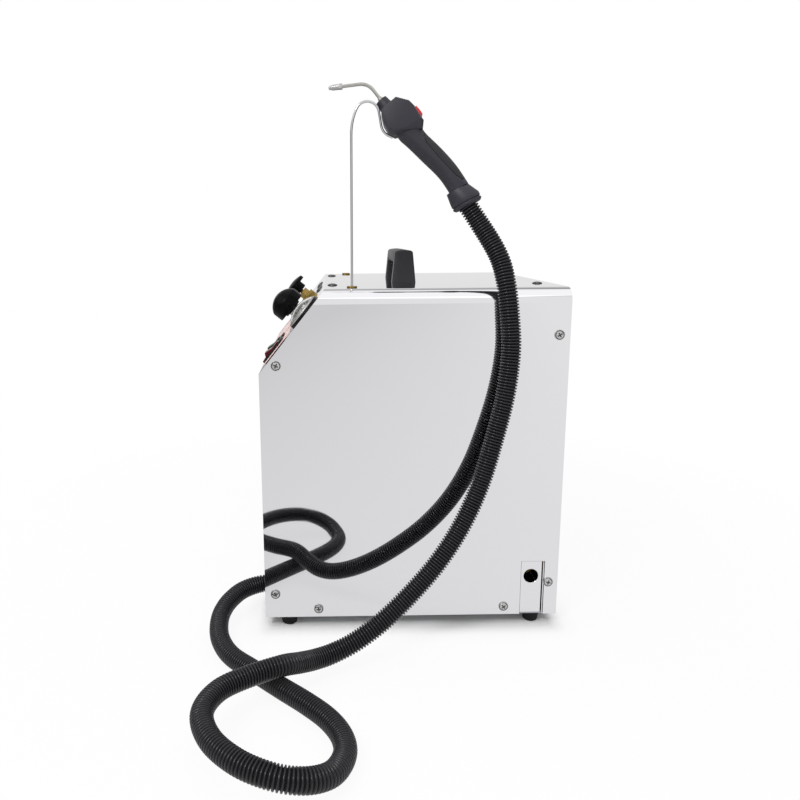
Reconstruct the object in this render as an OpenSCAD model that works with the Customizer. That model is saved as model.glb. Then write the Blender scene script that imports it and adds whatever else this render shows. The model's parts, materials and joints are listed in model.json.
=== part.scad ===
// Dry steam cleaner: a polished steel box with a small boiler inside, and a steam gun on a
// ribbed hose that rests on a wire hook. X runs across the machine, Y from front to back,
// and Z up from the surface that the feet stand on.

/* [Body] */
// Width across the machine
body_w = 360; // [345:1:400]
// Length from front to back
body_l = 340; // [325:1:380]
// Height of the steel body above its feet
body_h = 380; // [365:1:420]
// Thickness of the sheet steel
sheet = 1.5; // [1:0.1:2]
// Outer radius of the cover's two top bends
bend_r = 16; // [8:0.5:24]
// How far the sloped panel runs back
slope_run = 73; // [66:1:80]
// How far the sloped panel rises
slope_rise = 91; // [86:1:100]
// Clearance between the cover and the sheets inside it
sheet_fit = 0.2; // [0.1:0.05:0.4]

/* [Panels] */
// Height of the base tray's side lips
lip_h = 18; // [14:1:30]
// Depth of the front panel's side flanges
front_flange = 24; // [22:1:30]
// Depth of the back panel's side flanges
back_flange = 14; // [13:1:20]
// Depth of the flanges under the cover's top
top_flange = 22; // [20:1:24]
// Length of a vent slot in the back panel
vent_l = 70; // [40:1:90]
// Height of a vent slot
vent_h = 5; // [3:0.5:8]
// Spacing of the vent slots
vent_pitch = 14; // [10:1:20]
// Vent slots in one column
vent_count = 6; // [3:1:8]
// Distance of the top vent slots from the top of the cover
vent_down = 60; // [45:1:80]

/* [Drain] */
// Width of the notch in the near side of the cover
notch_w = 27.5; // [22:0.5:32]
// Height of the notch above the cover's lower edge
notch_h = 66; // [56:1:80]
// Distance from the notch to the rear edge
notch_rear = 15.5; // [15:0.5:20]
// Open slit beside the drain plate
notch_slit = 3; // [2:0.5:6]
// How far the drain plate laps behind the cover
plate_lap = 6; // [4:0.5:8]
// Radius of the hole for the drain
drain_hole_r = 8.5; // [7:0.5:10]
// Height of the drain above the cover's lower edge
drain_up = 47; // [40:1:52]
// Radius of the drain valve's body
drain_valve_r = 9; // [7:0.5:11]
// Length of the drain valve
drain_valve_l = 52; // [40:1:60]
// How far the drain valve sits behind its plate
drain_set = 26; // [20:1:30]
// Depth of the drain plate's foot on the tray
plate_foot = 24; // [22:1:30]

/* [Feet] */
// Height of the rubber feet
foot_h = 12; // [8:0.5:20]
// Radius of a foot under the tray
foot_r = 10; // [8:0.5:12]
// Radius of a foot on the floor
foot_tip_r = 8.5; // [6:0.5:9]
// Distance of the feet from the sides
foot_inset_x = 12; // [10:1:30]
// Distance of the feet from the front and the rear
foot_inset_y = 27; // [20:1:50]
// Radius of the studs that hold the feet
stud_r = 3; // [2:0.5:4]

/* [Screws] */
// Radius of a pan head
head_r = 5; // [4:0.5:6]
// Height of a pan head
head_h = 2.2; // [1.5:0.1:3]
// Radius of a screw's shank
shank_r = 2; // [1.5:0.1:2.5]
// Length of a screw's shank
shank_l = 6; // [5:0.5:8]
// Clearance round a shank
shank_fit = 0.1; // [0.05:0.05:0.3]
// Distance of the side screws from the front and rear edges
screw_inset = 12; // [9:0.5:13]
// Height of the lowest side screws above the cover's edge
screw_low = 10; // [8:0.5:12]
// Distance of those screws from the middle
screw_mid = 108; // [90:1:110]
// Distance of the top screws from the middle
top_screw_x = 103; // [80:1:120]

/* [Carry handle] */
// Length of the bridge handle
handle_l = 118; // [105:1:140]
// Height of the handle
handle_h = 39; // [34:1:48]
// Width of the handle at its foot
handle_w = 29; // [26:0.5:34]
// Width of the handle at its top
handle_top_w = 21.5; // [18:0.5:24]
// Radius of the crown along the top
crown_r = 38; // [26:1:60]
// Thickness of the handle's grip bar
handle_bar = 15; // [12:0.5:18]
// Thickness of the handle's two legs
handle_leg = 17; // [14:0.5:20]
// Corner radius of the finger gap
gap_r = 7; // [3:0.5:8]

/* [Gauge] */
// Radius of the gauge's flange
gauge_r = 22.5; // [20:0.5:25]
// Thickness of the flange
gauge_flange = 2; // [1.5:0.1:3]
// Radius of the barrel behind the panel
barrel_r = 19; // [16:0.5:19.5]
// Depth of the barrel behind the panel
barrel_d = 20; // [14:1:26]
// Height of the domed window over the flange
dome_h = 9.2; // [6:0.2:11]
// Width of the ring round the window
bezel_w = 2; // [1.5:0.1:3]
// Thickness of the window
window_t = 1.4; // [1:0.1:2]
// Across position of the gauge
gauge_x = 115; // [108:1:124]
// Position of the gauge up the slope
gauge_s = 77.6; // [72:0.2:82]

/* [Filler] */
// Radius of the filler cap
cap_r = 20.5; // [16:0.5:21]
// Height of the cap's straight skirt
cap_skirt = 13; // [9:0.5:16]
// Rise of the cap's dome over the skirt
cap_dome = 12; // [8:0.5:16]
// Height of the cap's underside over the panel
cap_up = 12.6; // [10:0.2:16]
// Radius of the brass neck
neck_r = 8; // [6:0.5:9]
// Clearance of the cap's bore on the neck
neck_fit = 0.08; // [0.05:0.01:0.1]
// Across position of the filler
filler_x = 40; // [34:1:48]
// Position of the filler up the slope
filler_s = 65.7; // [62:0.2:70]

/* [Steam valve] */
// Radius of the mushroom knob
knob_r = 16.5; // [14:0.5:19]
// Thickness of the knob's rim
knob_rim = 4.5; // [3:0.5:6]
// Rise of the knob's dome
knob_dome = 3.5; // [2:0.5:5]
// Radius of the knob's hub
hub_r = 9.5; // [7:0.5:11]
// Height of the knob's hub
hub_h = 9; // [6:0.5:11]
// Height of the knob's underside over the panel
knob_up = 24; // [22:0.5:28]
// Radius of the brass spindle
spindle_r = 3; // [2.5:0.1:4]
// Clearance of the knob's bore on the spindle
spindle_fit = 0.06; // [0.03:0.01:0.1]
// Across position of the valve
valve_x = -60; // [-80:1:-40]
// Position of the valve up the slope
valve_s = 82; // [78:0.5:86]

/* [Switches] */
// Length of a switch's bezel up the slope
switch_l = 34; // [32:0.5:36]
// Width of a switch's bezel
switch_w = 26; // [24:0.5:30]
// Thickness of the bezel
switch_t = 2.4; // [1.5:0.1:3]
// Rim of the bezel round the rocker
switch_rim = 4; // [3:0.2:5]
// Depth of a switch behind the panel
switch_d = 20; // [16:1:26]
// Turn of a rocker from off to on
rocker_turn = 18; // [12:1:22]
// Clearance round a rocker
rocker_fit = 0.4; // [0.3:0.05:0.6]
// Across position of the red switch
red_x = 112; // [108:1:116]
// Across position of the green switch
green_x = 72; // [66:1:76]
// Position of the switches up the slope
switch_s = 20.5; // [19.5:0.5:24]
// Thickness of the printed overlay on the slope
overlay_t = 0.5; // [0.3:0.1:0.8]
// Half width of the overlay
overlay_x = 130; // [128:1:140]
// Height of the overlay up the slope
overlay_l = 50; // [42:0.5:52]

/* [Hook] */
// Radius of the hook's wire
wire_r = 1.3; // [1.1:0.1:1.5]
// Distance of the hook bushes from the sides
bush_inset = 30; // [26:1:40]
// Distance of the hook from the slope's upper edge
hook_back = 30.5; // [28:0.5:40]
// Height of the hook's arch centre over the cover
hook_h = 182.9; // [150:0.1:200]
// Radius of the hook's arch
arch_r = 12.5; // [11:0.5:14]
// Radius of the long curve from the stem into the arch
shoulder_r = 61; // [55:1:65]
// Radius of the curve that cradles the gun
cradle_r = 14; // [12:0.5:16]
// Radius of the brass bush
bush_r = 5.7; // [5:0.1:7]
// Height of the bush over the cover
bush_h = 1.8; // [1.5:0.1:5]
// Clearance of the wire in its bush
wire_fit = 0.05; // [0.03:0.01:0.1]

/* [Steam gun] */
// Angle of the gun below the horizontal
gun_dip = 51.3; // [48:0.1:54]
// Lean of the gun's foot out over the near side
gun_lean = 7; // [5:0.5:9]
// Half thickness of the gun's head at its flat sides
head_t = 17; // [15:0.5:19]
// Half thickness of the head at its outline
head_edge = 11; // [9:0.5:13]
// Half thickness of the grip
grip_t = 12.5; // [11:0.5:14]
// Gap round the grip's soft inlay
inlay_gap = 0.4; // [0.3:0.05:0.6]
// Tilt of the hose collar against the gun
collar_tilt = 12; // [9:0.5:14]
// Tilt of the hose where it meets the collar
hose_tilt = 5; // [4:0.5:8]
// Length of the hose collar
collar_l = 21; // [18:0.5:25]
// Radius of the collar where it meets the grip
collar_top_r = 12.6; // [12.4:0.1:14]
// Largest radius of the collar
collar_r = 16.3; // [15:0.1:18]
// Length of the nozzle socket
socket_l = 9.5; // [7:0.5:10]
// Radius of the socket on the head
socket_r = 7.7; // [6.5:0.1:7.8]
// Radius of the socket at the nozzle
socket_tip_r = 6.2; // [5.5:0.1:6.4]
// Radius of the nozzle tube
tube_r = 1.75; // [1.5:0.05:2.2]
// Radius of the steam way in the tube
steam_way_r = 0.9; // [0.6:0.05:1]
// Bend radius of the nozzle tube
tube_bend = 17; // [14:0.5:20]
// Turn of the nozzle tube
tube_turn = 57; // [45:1:65]
// Straight length of the tube after its bend
tube_l = 21; // [16:0.5:26]
// Height that the thumb button stands proud
button_up = 3.4; // [2.6:0.1:4]
// Travel of the thumb button
button_travel = 2; // [1.5:0.1:2.2]
// Clearance round the thumb button
button_fit = 0.3; // [0.3:0.05:0.5]

/* [Hose] */
// Outer radius of the ribbed hose over its ribs
hose_r = 11; // [10.5:0.1:11]
// Depth of the hose's ribs
rib_d = 1.6; // [1:0.1:2]
// Radius of the hose's bore
hose_bore = 7.5; // [6:0.1:8]
// Ribs along the hose
rib_count = 200; // [100:20:200]
// Distance of the hose's outlet from the near side
hose_inset = 52; // [48:1:60]
// Height of the outlet over the floor
hose_z = 30; // [28:0.5:34]
// How far the hose runs into the body
hose_in = 22; // [20:1:26]
// Clearance of the hose in its grommet
hose_fit = 0.3; // [0.3:0.05:0.6]
// Gap between the hose and the gun's collar
hose_gap = 0.2; // [0.2:0.05:0.4]

/* [Boiler] */
// Length of the boiler's straight barrel
boiler_l = 200; // [180:1:206]
// Rise of the boiler's domed ends
boiler_dome = 20; // [14:1:22]
// Wall of the boiler
boiler_t = 2.5; // [2:0.1:4]
// Thickness of the saddles that carry the boiler
saddle_t = 3; // [2:0.2:5]
// Radius of the steam and water pipes
pipe_r = 5; // [4:0.2:6]
// Wall of the pipes
pipe_t = 1; // [0.8:0.1:1.4]
// Bend radius of the pipes
pipe_bend = 20; // [16:1:24]
// Edge of the brass blocks behind the slope
block = 26; // [24:0.5:28]

/* [Hidden] */
$fn = 48;
eps = 0.01;
// A bent length is this much thicker than the straight lengths that run into it
swell = 0.06;
lap = 1;

// Colours of the materials
steel = [0.85, 0.86, 0.87];
dull_steel = [0.62, 0.63, 0.65];
black = [0.09, 0.09, 0.1];
rubber_black = [0.05, 0.05, 0.055];
brass = [0.78, 0.6, 0.25];
red = [0.72, 0.08, 0.1];
green = [0.08, 0.4, 0.2];
pale_pink = [0.97, 0.84, 0.83];
white = [0.93, 0.93, 0.92];
glass_grey = [0.7, 0.7, 0.7];

// Body lines worked out from the driving sizes
half_w = body_w / 2;
front_y = -body_l / 2;
rear_y = body_l / 2;
top_z = foot_h + body_h;
inner_x = half_w - sheet - sheet_fit;
tray_z = foot_h + sheet;
slope_a = atan2(slope_rise, slope_run);
slope_z = top_z - slope_rise;
slope_len = sqrt(slope_run * slope_run + slope_rise * slope_rise);
slope_up = [cos(slope_a), sin(slope_a)];
slope_in = [sin(slope_a), -cos(slope_a)];
slope_foot = [front_y, slope_z];

// Drain notch, from the rear edge forward
notch_y1 = rear_y - notch_rear;
notch_y0 = notch_y1 - notch_w;
plate_y0 = notch_y0 - plate_lap;
plate_y1 = notch_y1 - notch_slit;
drain_y = (notch_y0 + plate_y1) / 2;
drain_z = foot_h + drain_up;
drain_x1 = inner_x - sheet - drain_set;
vent_x = half_w * 0.445;

// Side screws as pairs of Y and Z
side_pts = [
    [front_y + screw_inset, foot_h + 29],
    [front_y + slope_run * 0.26, slope_z + 9],
    [-screw_mid, foot_h + screw_low],
    [screw_mid, foot_h + screw_low],
    [rear_y - screw_inset + 1, foot_h + 40],
    [rear_y - screw_inset, top_z - 51]
];
top_pts = [
    for (x = [-top_screw_x, top_screw_x], y = [front_y + slope_run + 9, rear_y - 18]) [x, y]
];
slope_screw_x = 40;
slope_screw_s = slope_len - 11.5;
handle_screw_x = handle_l / 2 - handle_leg / 2;

// Hook and gun
hook_x = half_w - bush_inset;
hook_y = front_y + slope_run + hook_back;
arch_z = top_z + hook_h;
shoulder_turn = 25;
arch_y = hook_y + arch_r * cos(shoulder_turn) + shoulder_r * (1 - cos(shoulder_turn));
gun_at = [hook_x, arch_y + 36.65, arch_z - 4.9];
arch_end = 10;
cradle_run = 14.5;
cradle_turn = 55;
wire_tip = 5;
bush_shank = 10;
bush_shank_r = 4;

// Outline of the gun's head, along and across the gun from the middle of the head
head_pts = [[-19, -12], [-19, 7], [-7, 15.6], [0, 16.4], [18, 14.8], [24, 9], [10, -17.2],
    [2.5, -20], [-7.3, -18.8], [-16.5, -14.5]];
face_pts = [[-18, -10.5], [-18, 6], [-6.7, 14.2], [0.3, 15], [15, 12.3], [13, -2.8], [7, -15.8],
    [1.5, -18], [-7, -17], [-15.5, -13]];
// Sections of the grip: place along the gun, middle and half width across it
grip_rows = [[4, -1.5, 13], [16, -2.2, 13.4], [28, -2, 11.6], [50, 0.8, 11.6], [75, 3, 10.9],
    [100, 1, 11]];
inlay_pts = [[29, 24], [29, 7.2], [32, 4.4], [38, 3], [59, 3.8], [84, 6], [91, 8.5], [94, 24]];
collar_u = 96;
collar_v = 2.2;
socket_u = -19;
socket_v = -5;
button_u = 6.2;
button_l = 11.6;
button_w = 13.6;
button_v = 15.8;
button_deep = 3.3;
switch_top = 9.2;
gun_screw_pts = [[-11, 3], [1, -12], [62, -3]];
gun_screw_r = 1.5;
gun_screw_l = 14;
gun_screw_head_r = 2.7;
gun_screw_head_h = 2.2;
gun_screw_seat = 8;

// Hose route from the near side out: points chosen along the floor and up to the gun
hose_x = half_w - hose_inset;
hose_lay = hose_r + 0.2;
route = [
    [-42, -197, 28], [-22, -212.5, 24.5], [1, -220.5, 20], [26, -221, 16], [53, -215, 13],
    [81, -200, hose_lay], [109, -174, hose_lay], [141, -143, hose_lay], [166, -118, hose_lay],
    [189.5, -98, hose_lay], [212, -86, hose_lay], [234, -82, hose_lay + 0.5], [255.5, -86.5, 13.5],
    [274.5, -97, 18], [287, -116, 24], [288, -141, 29], [274, -171, 32], [246, -197, 33],
    [211.5, -209, 34], [179.5, -198.5, 35], [156, -171, 35], [139, -142, 34.5], [122.5, -125, 27.5],
    [108.5, -110, 22.5], [98, -91.5, 23], [89, -67.5, 31], [78.5, -39, 47.5], [66.5, -8.5, 72],
    [54, 22.5, 103], [42, 49.5, 140.5], [32, 70.5, 184], [24.5, 85.5, 232], [20, 97, 280],
    [16, 102, 325], [13, 100, 364], [7, 96, 398], [-2, 88, 428]
];

// Boiler and its fittings
boiler_r = body_h / 4;
boiler_z = foot_h + body_h * 0.455;
boiler_y = body_l * 0.088;
boiler_x = -half_w / 9;
elbow_t = 0.6;
boss_r = 11;
boss_up = 4;
boss_top = boiler_z + boiler_r + boss_up;
boss_low = boiler_z - boiler_r - boss_up;
safety_x = boiler_x - 80;
pressure_x = boiler_x + 10;
end_boss_r = 34;
end_boss_x = boiler_x - boiler_l / 2 - boiler_dome - 2;
solenoid = [40, 40, 42];
solenoid_y = front_y + hose_in + 25;
coil_r = 16;
coil_h = 38;

// Centres of the brass blocks behind the slope
filler_back = 40;
valve_back = 30;
function behind(s, d) = slope_foot + s * slope_up + d * slope_in;
filler_block = behind(filler_s, filler_back);
valve_block = behind(valve_s, valve_back);

// Sets a piece on the sloped panel, with Z out of the panel and Y up the slope
module on_slope(x, s, h = 0) {
    translate([x, front_y + s * slope_up[0], slope_z + s * slope_up[1]])
        rotate([slope_a, 0, 0])
            translate([0, 0, h])
                children();
}

// Turns a flat drawing of Y and Z into the machine's side view at one X
module in_side(x) {
    translate([x, 0, 0])
        rotate([90, 0, 90])
            children();
}

// Sets a piece in the gun's own frame: X along the gun, Y to its button, Z to the near side
module on_gun() {
    translate(gun_at)
        rotate([-gun_dip, 0, 0])
            rotate([90, 0, 90])
                rotate([0, -gun_lean, 0])
                    children();
}

function gun_point(p) =
    let (
        along = p[0] * cos(gun_lean) - p[2] * sin(gun_lean),
        side = p[0] * sin(gun_lean) + p[2] * cos(gun_lean)
    )
    gun_at + [
        side,
        along * cos(gun_dip) + p[1] * sin(gun_dip),
        -along * sin(gun_dip) + p[1] * cos(gun_dip)
    ];

module rod_x(r, l) {
    rotate([0, 90, 0])
        cylinder(r = r, h = l);
}

module rod_y(r, l) {
    rotate([-90, 0, 0])
        cylinder(r = r, h = l);
}

// A quarter or other part of a ring, drawn from one angle over a turn
module ring_part(ring_r, r, from, turn) {
    rotate([0, 0, from])
        rotate_extrude(angle = turn)
            translate([ring_r, 0])
                circle(r = r);
}

module pan_screw(l = shank_l) {
    intersection() {
        cylinder(r = head_r, h = head_h);
        translate([0, 0, head_h - 3 * head_r])
            sphere(r = 3 * head_r);
    }
    translate([0, 0, -l])
        cylinder(r = shank_r, h = l + eps);
}

module cover_form(w, h, r, l) {
    translate([0, l / 2, 0])
        rotate([90, 0, 0])
            linear_extrude(height = l) {
                translate([-w / 2, 0])
                    square([w, h - r]);
                translate([-w / 2 + r, 0])
                    square([w - 2 * r, h]);
                for (side = [-1, 1])
                    translate([side * (w / 2 - r), h - r])
                        circle(r = r);
            }
}

module side_holes() {
    for (p = side_pts)
        translate([-half_w - 1, p[0], p[1]])
            rod_x(shank_r + shank_fit, body_w + 2);
}

module top_holes(bottom) {
    for (p = top_pts)
        translate([p[0], p[1], bottom])
            cylinder(r = shank_r + shank_fit, h = top_z - bottom + 1);
}

// Inverted U of polished sheet: two sides and the top, cut back along the slope
module cover() {
    cut = 12;
    color(steel)
        difference() {
            translate([0, 0, foot_h])
                cover_form(body_w, body_h, bend_r, body_l);
            translate([0, 0, foot_h - 1])
                cover_form(body_w - 2 * sheet, body_h - sheet + 1, bend_r - sheet, body_l + 2);
            in_side(-half_w - 1)
                linear_extrude(height = body_w + 2)
                    polygon([
                        slope_foot - cut * slope_up,
                        slope_foot + (slope_len + cut) * slope_up,
                        [front_y - cut, top_z + cut],
                        [front_y - cut, slope_z - cut]
                    ]);
            translate([half_w - 2 * sheet, notch_y0, foot_h - 1])
                cube([3 * sheet, notch_w, notch_h + 1]);
            side_holes();
            top_holes(top_z - 2 * sheet);
            for (x = [-hook_x, hook_x])
                translate([x, hook_y, top_z - 2 * sheet])
                    cylinder(r = bush_shank_r + shank_fit, h = 3 * sheet);
            for (x = [-handle_screw_x, handle_screw_x])
                translate([x, 0, top_z - 2 * sheet])
                    cylinder(r = shank_r + shank_fit, h = 3 * sheet);
        }
}

// Front sheet: upright face, sloped control panel, top flange and two side flanges
module front_panel() {
    lap_z = top_z - sheet;
    up = (lap_z - slope_z) / slope_up[1];
    knee = slope_foot + sheet * [1 + slope_in[0], slope_in[1]] / (1 + slope_in[0]);
    peak = slope_foot + up * slope_up;
    peak_in = peak + sheet * [slope_in[0], slope_in[1] - 1] / (1 - slope_in[1]);
    flange_bottom = tray_z + sheet_fit;
    rise = slope_len * 0.55;
    flange_knee = slope_foot + front_flange * [1 + slope_in[0], slope_in[1]] / (1 + slope_in[0]);
    color(steel)
        difference() {
            intersection() {
                union() {
                    in_side(-half_w)
                        linear_extrude(height = body_w)
                            polygon([
                                [front_y, foot_h], slope_foot, peak, peak + [top_flange, 0],
                                peak + [top_flange, -sheet], peak_in, knee,
                                [front_y + sheet, foot_h]
                            ]);
                    for (x = [-half_w, inner_x - sheet])
                        in_side(x)
                            linear_extrude(height = half_w - inner_x + sheet)
                                polygon([
                                    [front_y, flange_bottom], slope_foot,
                                    slope_foot + rise * slope_up,
                                    slope_foot + rise * slope_up + front_flange * slope_in,
                                    flange_knee, [front_y + front_flange, flange_bottom]
                                ]);
                }
                translate([0, 0, foot_h - lap])
                    cover_form(2 * inner_x, body_h - sheet + lap, bend_r - sheet - sheet_fit,
                        body_l + 2 * lap);
            }
            side_holes();
            top_holes(top_z - 3 * sheet);
            translate([hose_x, front_y - 1, hose_z])
                rod_y(hose_r + 3, 3 * sheet);
            on_slope(gauge_x, gauge_s, -4 * sheet)
                cylinder(r = barrel_r + sheet_fit, h = 6 * sheet);
            on_slope(filler_x, filler_s, -4 * sheet)
                cylinder(r = neck_r + sheet_fit, h = 6 * sheet);
            on_slope(valve_x, valve_s, -4 * sheet)
                cylinder(r = neck_r + sheet_fit, h = 6 * sheet);
            for (x = [red_x, green_x])
                on_slope(x, switch_s, 0)
                    cube([switch_w - 4, switch_l - 4, 8 * sheet] + sheet_fit * [2, 2, 0],
                        center = true);
            for (x = [-slope_screw_x, slope_screw_x])
                on_slope(x, slope_screw_s, -4 * sheet)
                    cylinder(r = shank_r + shank_fit, h = 6 * sheet);
        }
}

// Back sheet with vent slots, the inlet's cut-out and flanges for the cover's screws
module back_panel() {
    y0 = rear_y - sheet;
    lap_z = top_z - sheet;
    flange_bottom = tray_z + sheet_fit;
    color(steel)
        difference() {
            union() {
                translate([-inner_x, y0, foot_h])
                    cube([2 * inner_x, sheet, lap_z - foot_h - bend_r]);
                translate([-inner_x + bend_r, y0, foot_h])
                    cube([2 * (inner_x - bend_r), sheet, lap_z - foot_h]);
                for (x = [-inner_x, inner_x - sheet])
                    translate([x, y0 - back_flange, flange_bottom])
                        cube([sheet, back_flange + eps, lap_z - flange_bottom - 2 * bend_r]);
                translate([-inner_x + bend_r, y0 - top_flange, lap_z - sheet])
                    cube([2 * (inner_x - bend_r), top_flange + eps, sheet]);
            }
            side_holes();
            top_holes(top_z - 3 * sheet);
            for (side = [-1, 1], i = [0 : vent_count - 1])
                translate([side * vent_x - vent_l / 2, y0 - 1, top_z - vent_down - i * vent_pitch])
                    cube([vent_l, sheet + 2, vent_h]);
            translate([inlet_x, y0 - 1, inlet_z])
                inlet_cut(sheet + 2, sheet_fit);
            for (side = [-1, 1])
                translate([inlet_x + side * inlet_screw, y0 - 1, inlet_z])
                    rod_y(shank_r * 0.75 + shank_fit, sheet + 2);
        }
}

// Base sheet with its two side lips
module base_tray() {
    l = body_l - 2 * (sheet + sheet_fit);
    lip_y0 = front_y + front_flange + 1;
    lip_y1 = rear_y - sheet - back_flange - 1;
    color(dull_steel)
        difference() {
            union() {
                translate([-inner_x, -l / 2, foot_h])
                    cube([2 * inner_x, l, sheet]);
                translate([-inner_x, lip_y0, foot_h])
                    cube([sheet, lip_y1 - lip_y0, lip_h]);
                translate([inner_x - sheet, lip_y0, foot_h])
                    cube([sheet, plate_y0 - 0.5 - lip_y0, lip_h]);
            }
            side_holes();
            for (x = [-1, 1], y = [-1, 1])
                translate([x * (half_w - foot_inset_x), y * (rear_y - foot_inset_y), foot_h - 1])
                    cylinder(r = stud_r + shank_fit, h = sheet + 2);
        }
}

// Small plate behind the cover's notch, with the hole for the drain
module drain_plate() {
    plate_w = plate_y1 - plate_y0;
    color(steel)
        difference() {
            union() {
                translate([inner_x - sheet, plate_y0, tray_z])
                    cube([sheet, plate_w, foot_h + notch_h + plate_lap - tray_z]);
                translate([inner_x - plate_foot, plate_y0, tray_z])
                    cube([plate_foot, plate_w, sheet]);
            }
            translate([inner_x - 2 * sheet, drain_y, drain_z])
                rod_x(drain_hole_r, 3 * sheet);
            translate([half_w - foot_inset_x, rear_y - foot_inset_y, tray_z - 1])
                cylinder(r = stud_r + 1, h = sheet + 2);
        }
}

module foot(x, y) {
    stud_up = 8;
    lip = 1.5;
    color(rubber_black)
        translate([x * (half_w - foot_inset_x), y * (rear_y - foot_inset_y), 0])
            rotate_extrude()
                polygon([
                    [0, 0], [foot_tip_r - lip, 0], [foot_tip_r, lip], [foot_r, foot_h - lip],
                    [foot_r, foot_h], [stud_r, foot_h], [stud_r, foot_h + stud_up],
                    [0, foot_h + stud_up]
                ]);
}

module foot_fn() foot(1, -1);
module foot_ff() foot(-1, -1);
module foot_rn() foot(1, 1);
module foot_rf() foot(-1, 1);

module side_screws() {
    color(dull_steel)
        for (p = side_pts, side = [-1, 1])
            translate([side * half_w, p[0], p[1]])
                rotate([0, side * 90, 0])
                    pan_screw();
}

module top_screws() {
    color(dull_steel)
        for (p = top_pts)
            translate([p[0], p[1], top_z])
                pan_screw();
}

module slope_screws() {
    color(dull_steel)
        for (x = [-slope_screw_x, slope_screw_x])
            on_slope(x, slope_screw_s)
                pan_screw();
}

// Bridge handle: tapered section with a crowned top, open under its bar for the fingers
module carry_handle() {
    gap_l = handle_l - 2 * handle_leg;
    gap_h = handle_h - handle_bar;
    color(black)
        translate([0, 0, top_z])
            difference() {
                intersection() {
                    in_side(-handle_l / 2)
                        linear_extrude(height = handle_l)
                            polygon([
                                [-handle_w / 2, 0], [handle_w / 2, 0],
                                [handle_top_w / 2, handle_h], [-handle_top_w / 2, handle_h]
                            ]);
                    translate([-handle_l / 2, 0, handle_h - crown_r])
                        rod_x(crown_r, handle_l);
                }
                translate([-gap_l / 2, -handle_w, -1])
                    cube([gap_l, 2 * handle_w, gap_h - gap_r + 1]);
                translate([-gap_l / 2 + gap_r, -handle_w, 0])
                    cube([gap_l - 2 * gap_r, 2 * handle_w, gap_h]);
                for (side = [-1, 1])
                    translate([side * (gap_l / 2 - gap_r), -handle_w, gap_h - gap_r])
                        rod_y(gap_r, 2 * handle_w);
                for (x = [-handle_screw_x, handle_screw_x])
                    translate([x, 0, -1])
                        cylinder(r = shank_r + shank_fit, h = 2 * shank_l + 1);
            }
}

// Screws that hold the handle from under the cover's top
module handle_screws() {
    color(dull_steel)
        for (x = [-handle_screw_x, handle_screw_x])
            translate([x, 0, top_z - sheet])
                mirror([0, 0, 1])
                    pan_screw(2 * shank_l);
}

// Printed overlay round the switches
module overlay() {
    color(pale_pink)
        difference() {
            on_slope(-overlay_x, 1.5)
                cube([2 * overlay_x, overlay_l, overlay_t]);
            for (x = [red_x, green_x])
                on_slope(x, switch_s, 0)
                    cube([switch_w - 4, switch_l - 4, 8 * sheet] + sheet_fit * [2, 2, 0],
                        center = true);
            on_slope(filler_x, filler_s, -1)
                cylinder(r = neck_r * 1.6 + 1, h = 4);
        }
}

// Gauge case: flange on the panel, barrel behind it, well for the dial and pivot post
dial_well = 3;
post_r = 0.7;
module gauge_case() {
    color(black)
        on_slope(gauge_x, gauge_s) {
            difference() {
                union() {
                    cylinder(r = gauge_r, h = gauge_flange);
                    translate([0, 0, -barrel_d])
                        cylinder(r = barrel_r, h = barrel_d + eps);
                    translate([0, 0, -barrel_d - 12])
                        cylinder(r = 6.5, h = 12 + eps);
                }
                translate([0, 0, -dial_well])
                    cylinder(r = barrel_r - 1.5, h = dial_well + gauge_flange + 1);
            }
            translate([0, 0, -dial_well - eps])
                cylinder(r = post_r, h = dial_well + gauge_flange);
        }
}

// Domed form over the flange, out to one radius and up to one height
module gauge_dome(rise) {
    ball = (gauge_r * gauge_r + dome_h * dome_h) / (2 * dome_h);
    translate([0, 0, gauge_flange + dome_h - ball])
        sphere(r = ball - rise, $fn = 96);
}

module gauge_bezel() {
    color(dull_steel)
        on_slope(gauge_x, gauge_s)
            translate([0, 0, gauge_flange])
                rotate_extrude()
                    polygon([
                        [gauge_r - bezel_w, 0], [gauge_r, 0], [gauge_r - 0.3, bezel_w * 0.6],
                        [gauge_r - bezel_w * 0.6, bezel_w], [gauge_r - bezel_w, bezel_w]
                    ]);
}

module gauge_window() {
    color(glass_grey, 0.6)
        on_slope(gauge_x, gauge_s)
            difference() {
                intersection() {
                    gauge_dome(0);
                    translate([0, 0, gauge_flange])
                        cylinder(r = gauge_r - bezel_w - 0.05, h = dome_h + 1);
                }
                gauge_dome(window_t);
            }
}

module gauge_dial() {
    color(white)
        on_slope(gauge_x, gauge_s, -dial_well)
            difference() {
                cylinder(r = barrel_r - 1.7, h = 0.8);
                translate([0, 0, -1])
                    cylinder(r = post_r + 0.4, h = 3);
            }
}

// Needle that turns on the case's post, drawn pointing to the dial's zero
needle_from = 225;
needle_turn = 270;
module gauge_needle() {
    color(black)
        on_slope(gauge_x, gauge_s, -dial_well + 1.3)
            difference() {
                union() {
                    cylinder(r = 2.2, h = 1.6);
                    rotate([0, 0, needle_from])
                        linear_extrude(height = 0.6)
                            polygon([[-5, -0.9], [-5, 0.9], [barrel_r - 4.5, 0.25],
                                [barrel_r - 4.5, -0.25]]);
                }
                translate([0, 0, -1])
                    cylinder(r = post_r + 0.05, h = 4);
            }
}

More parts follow.
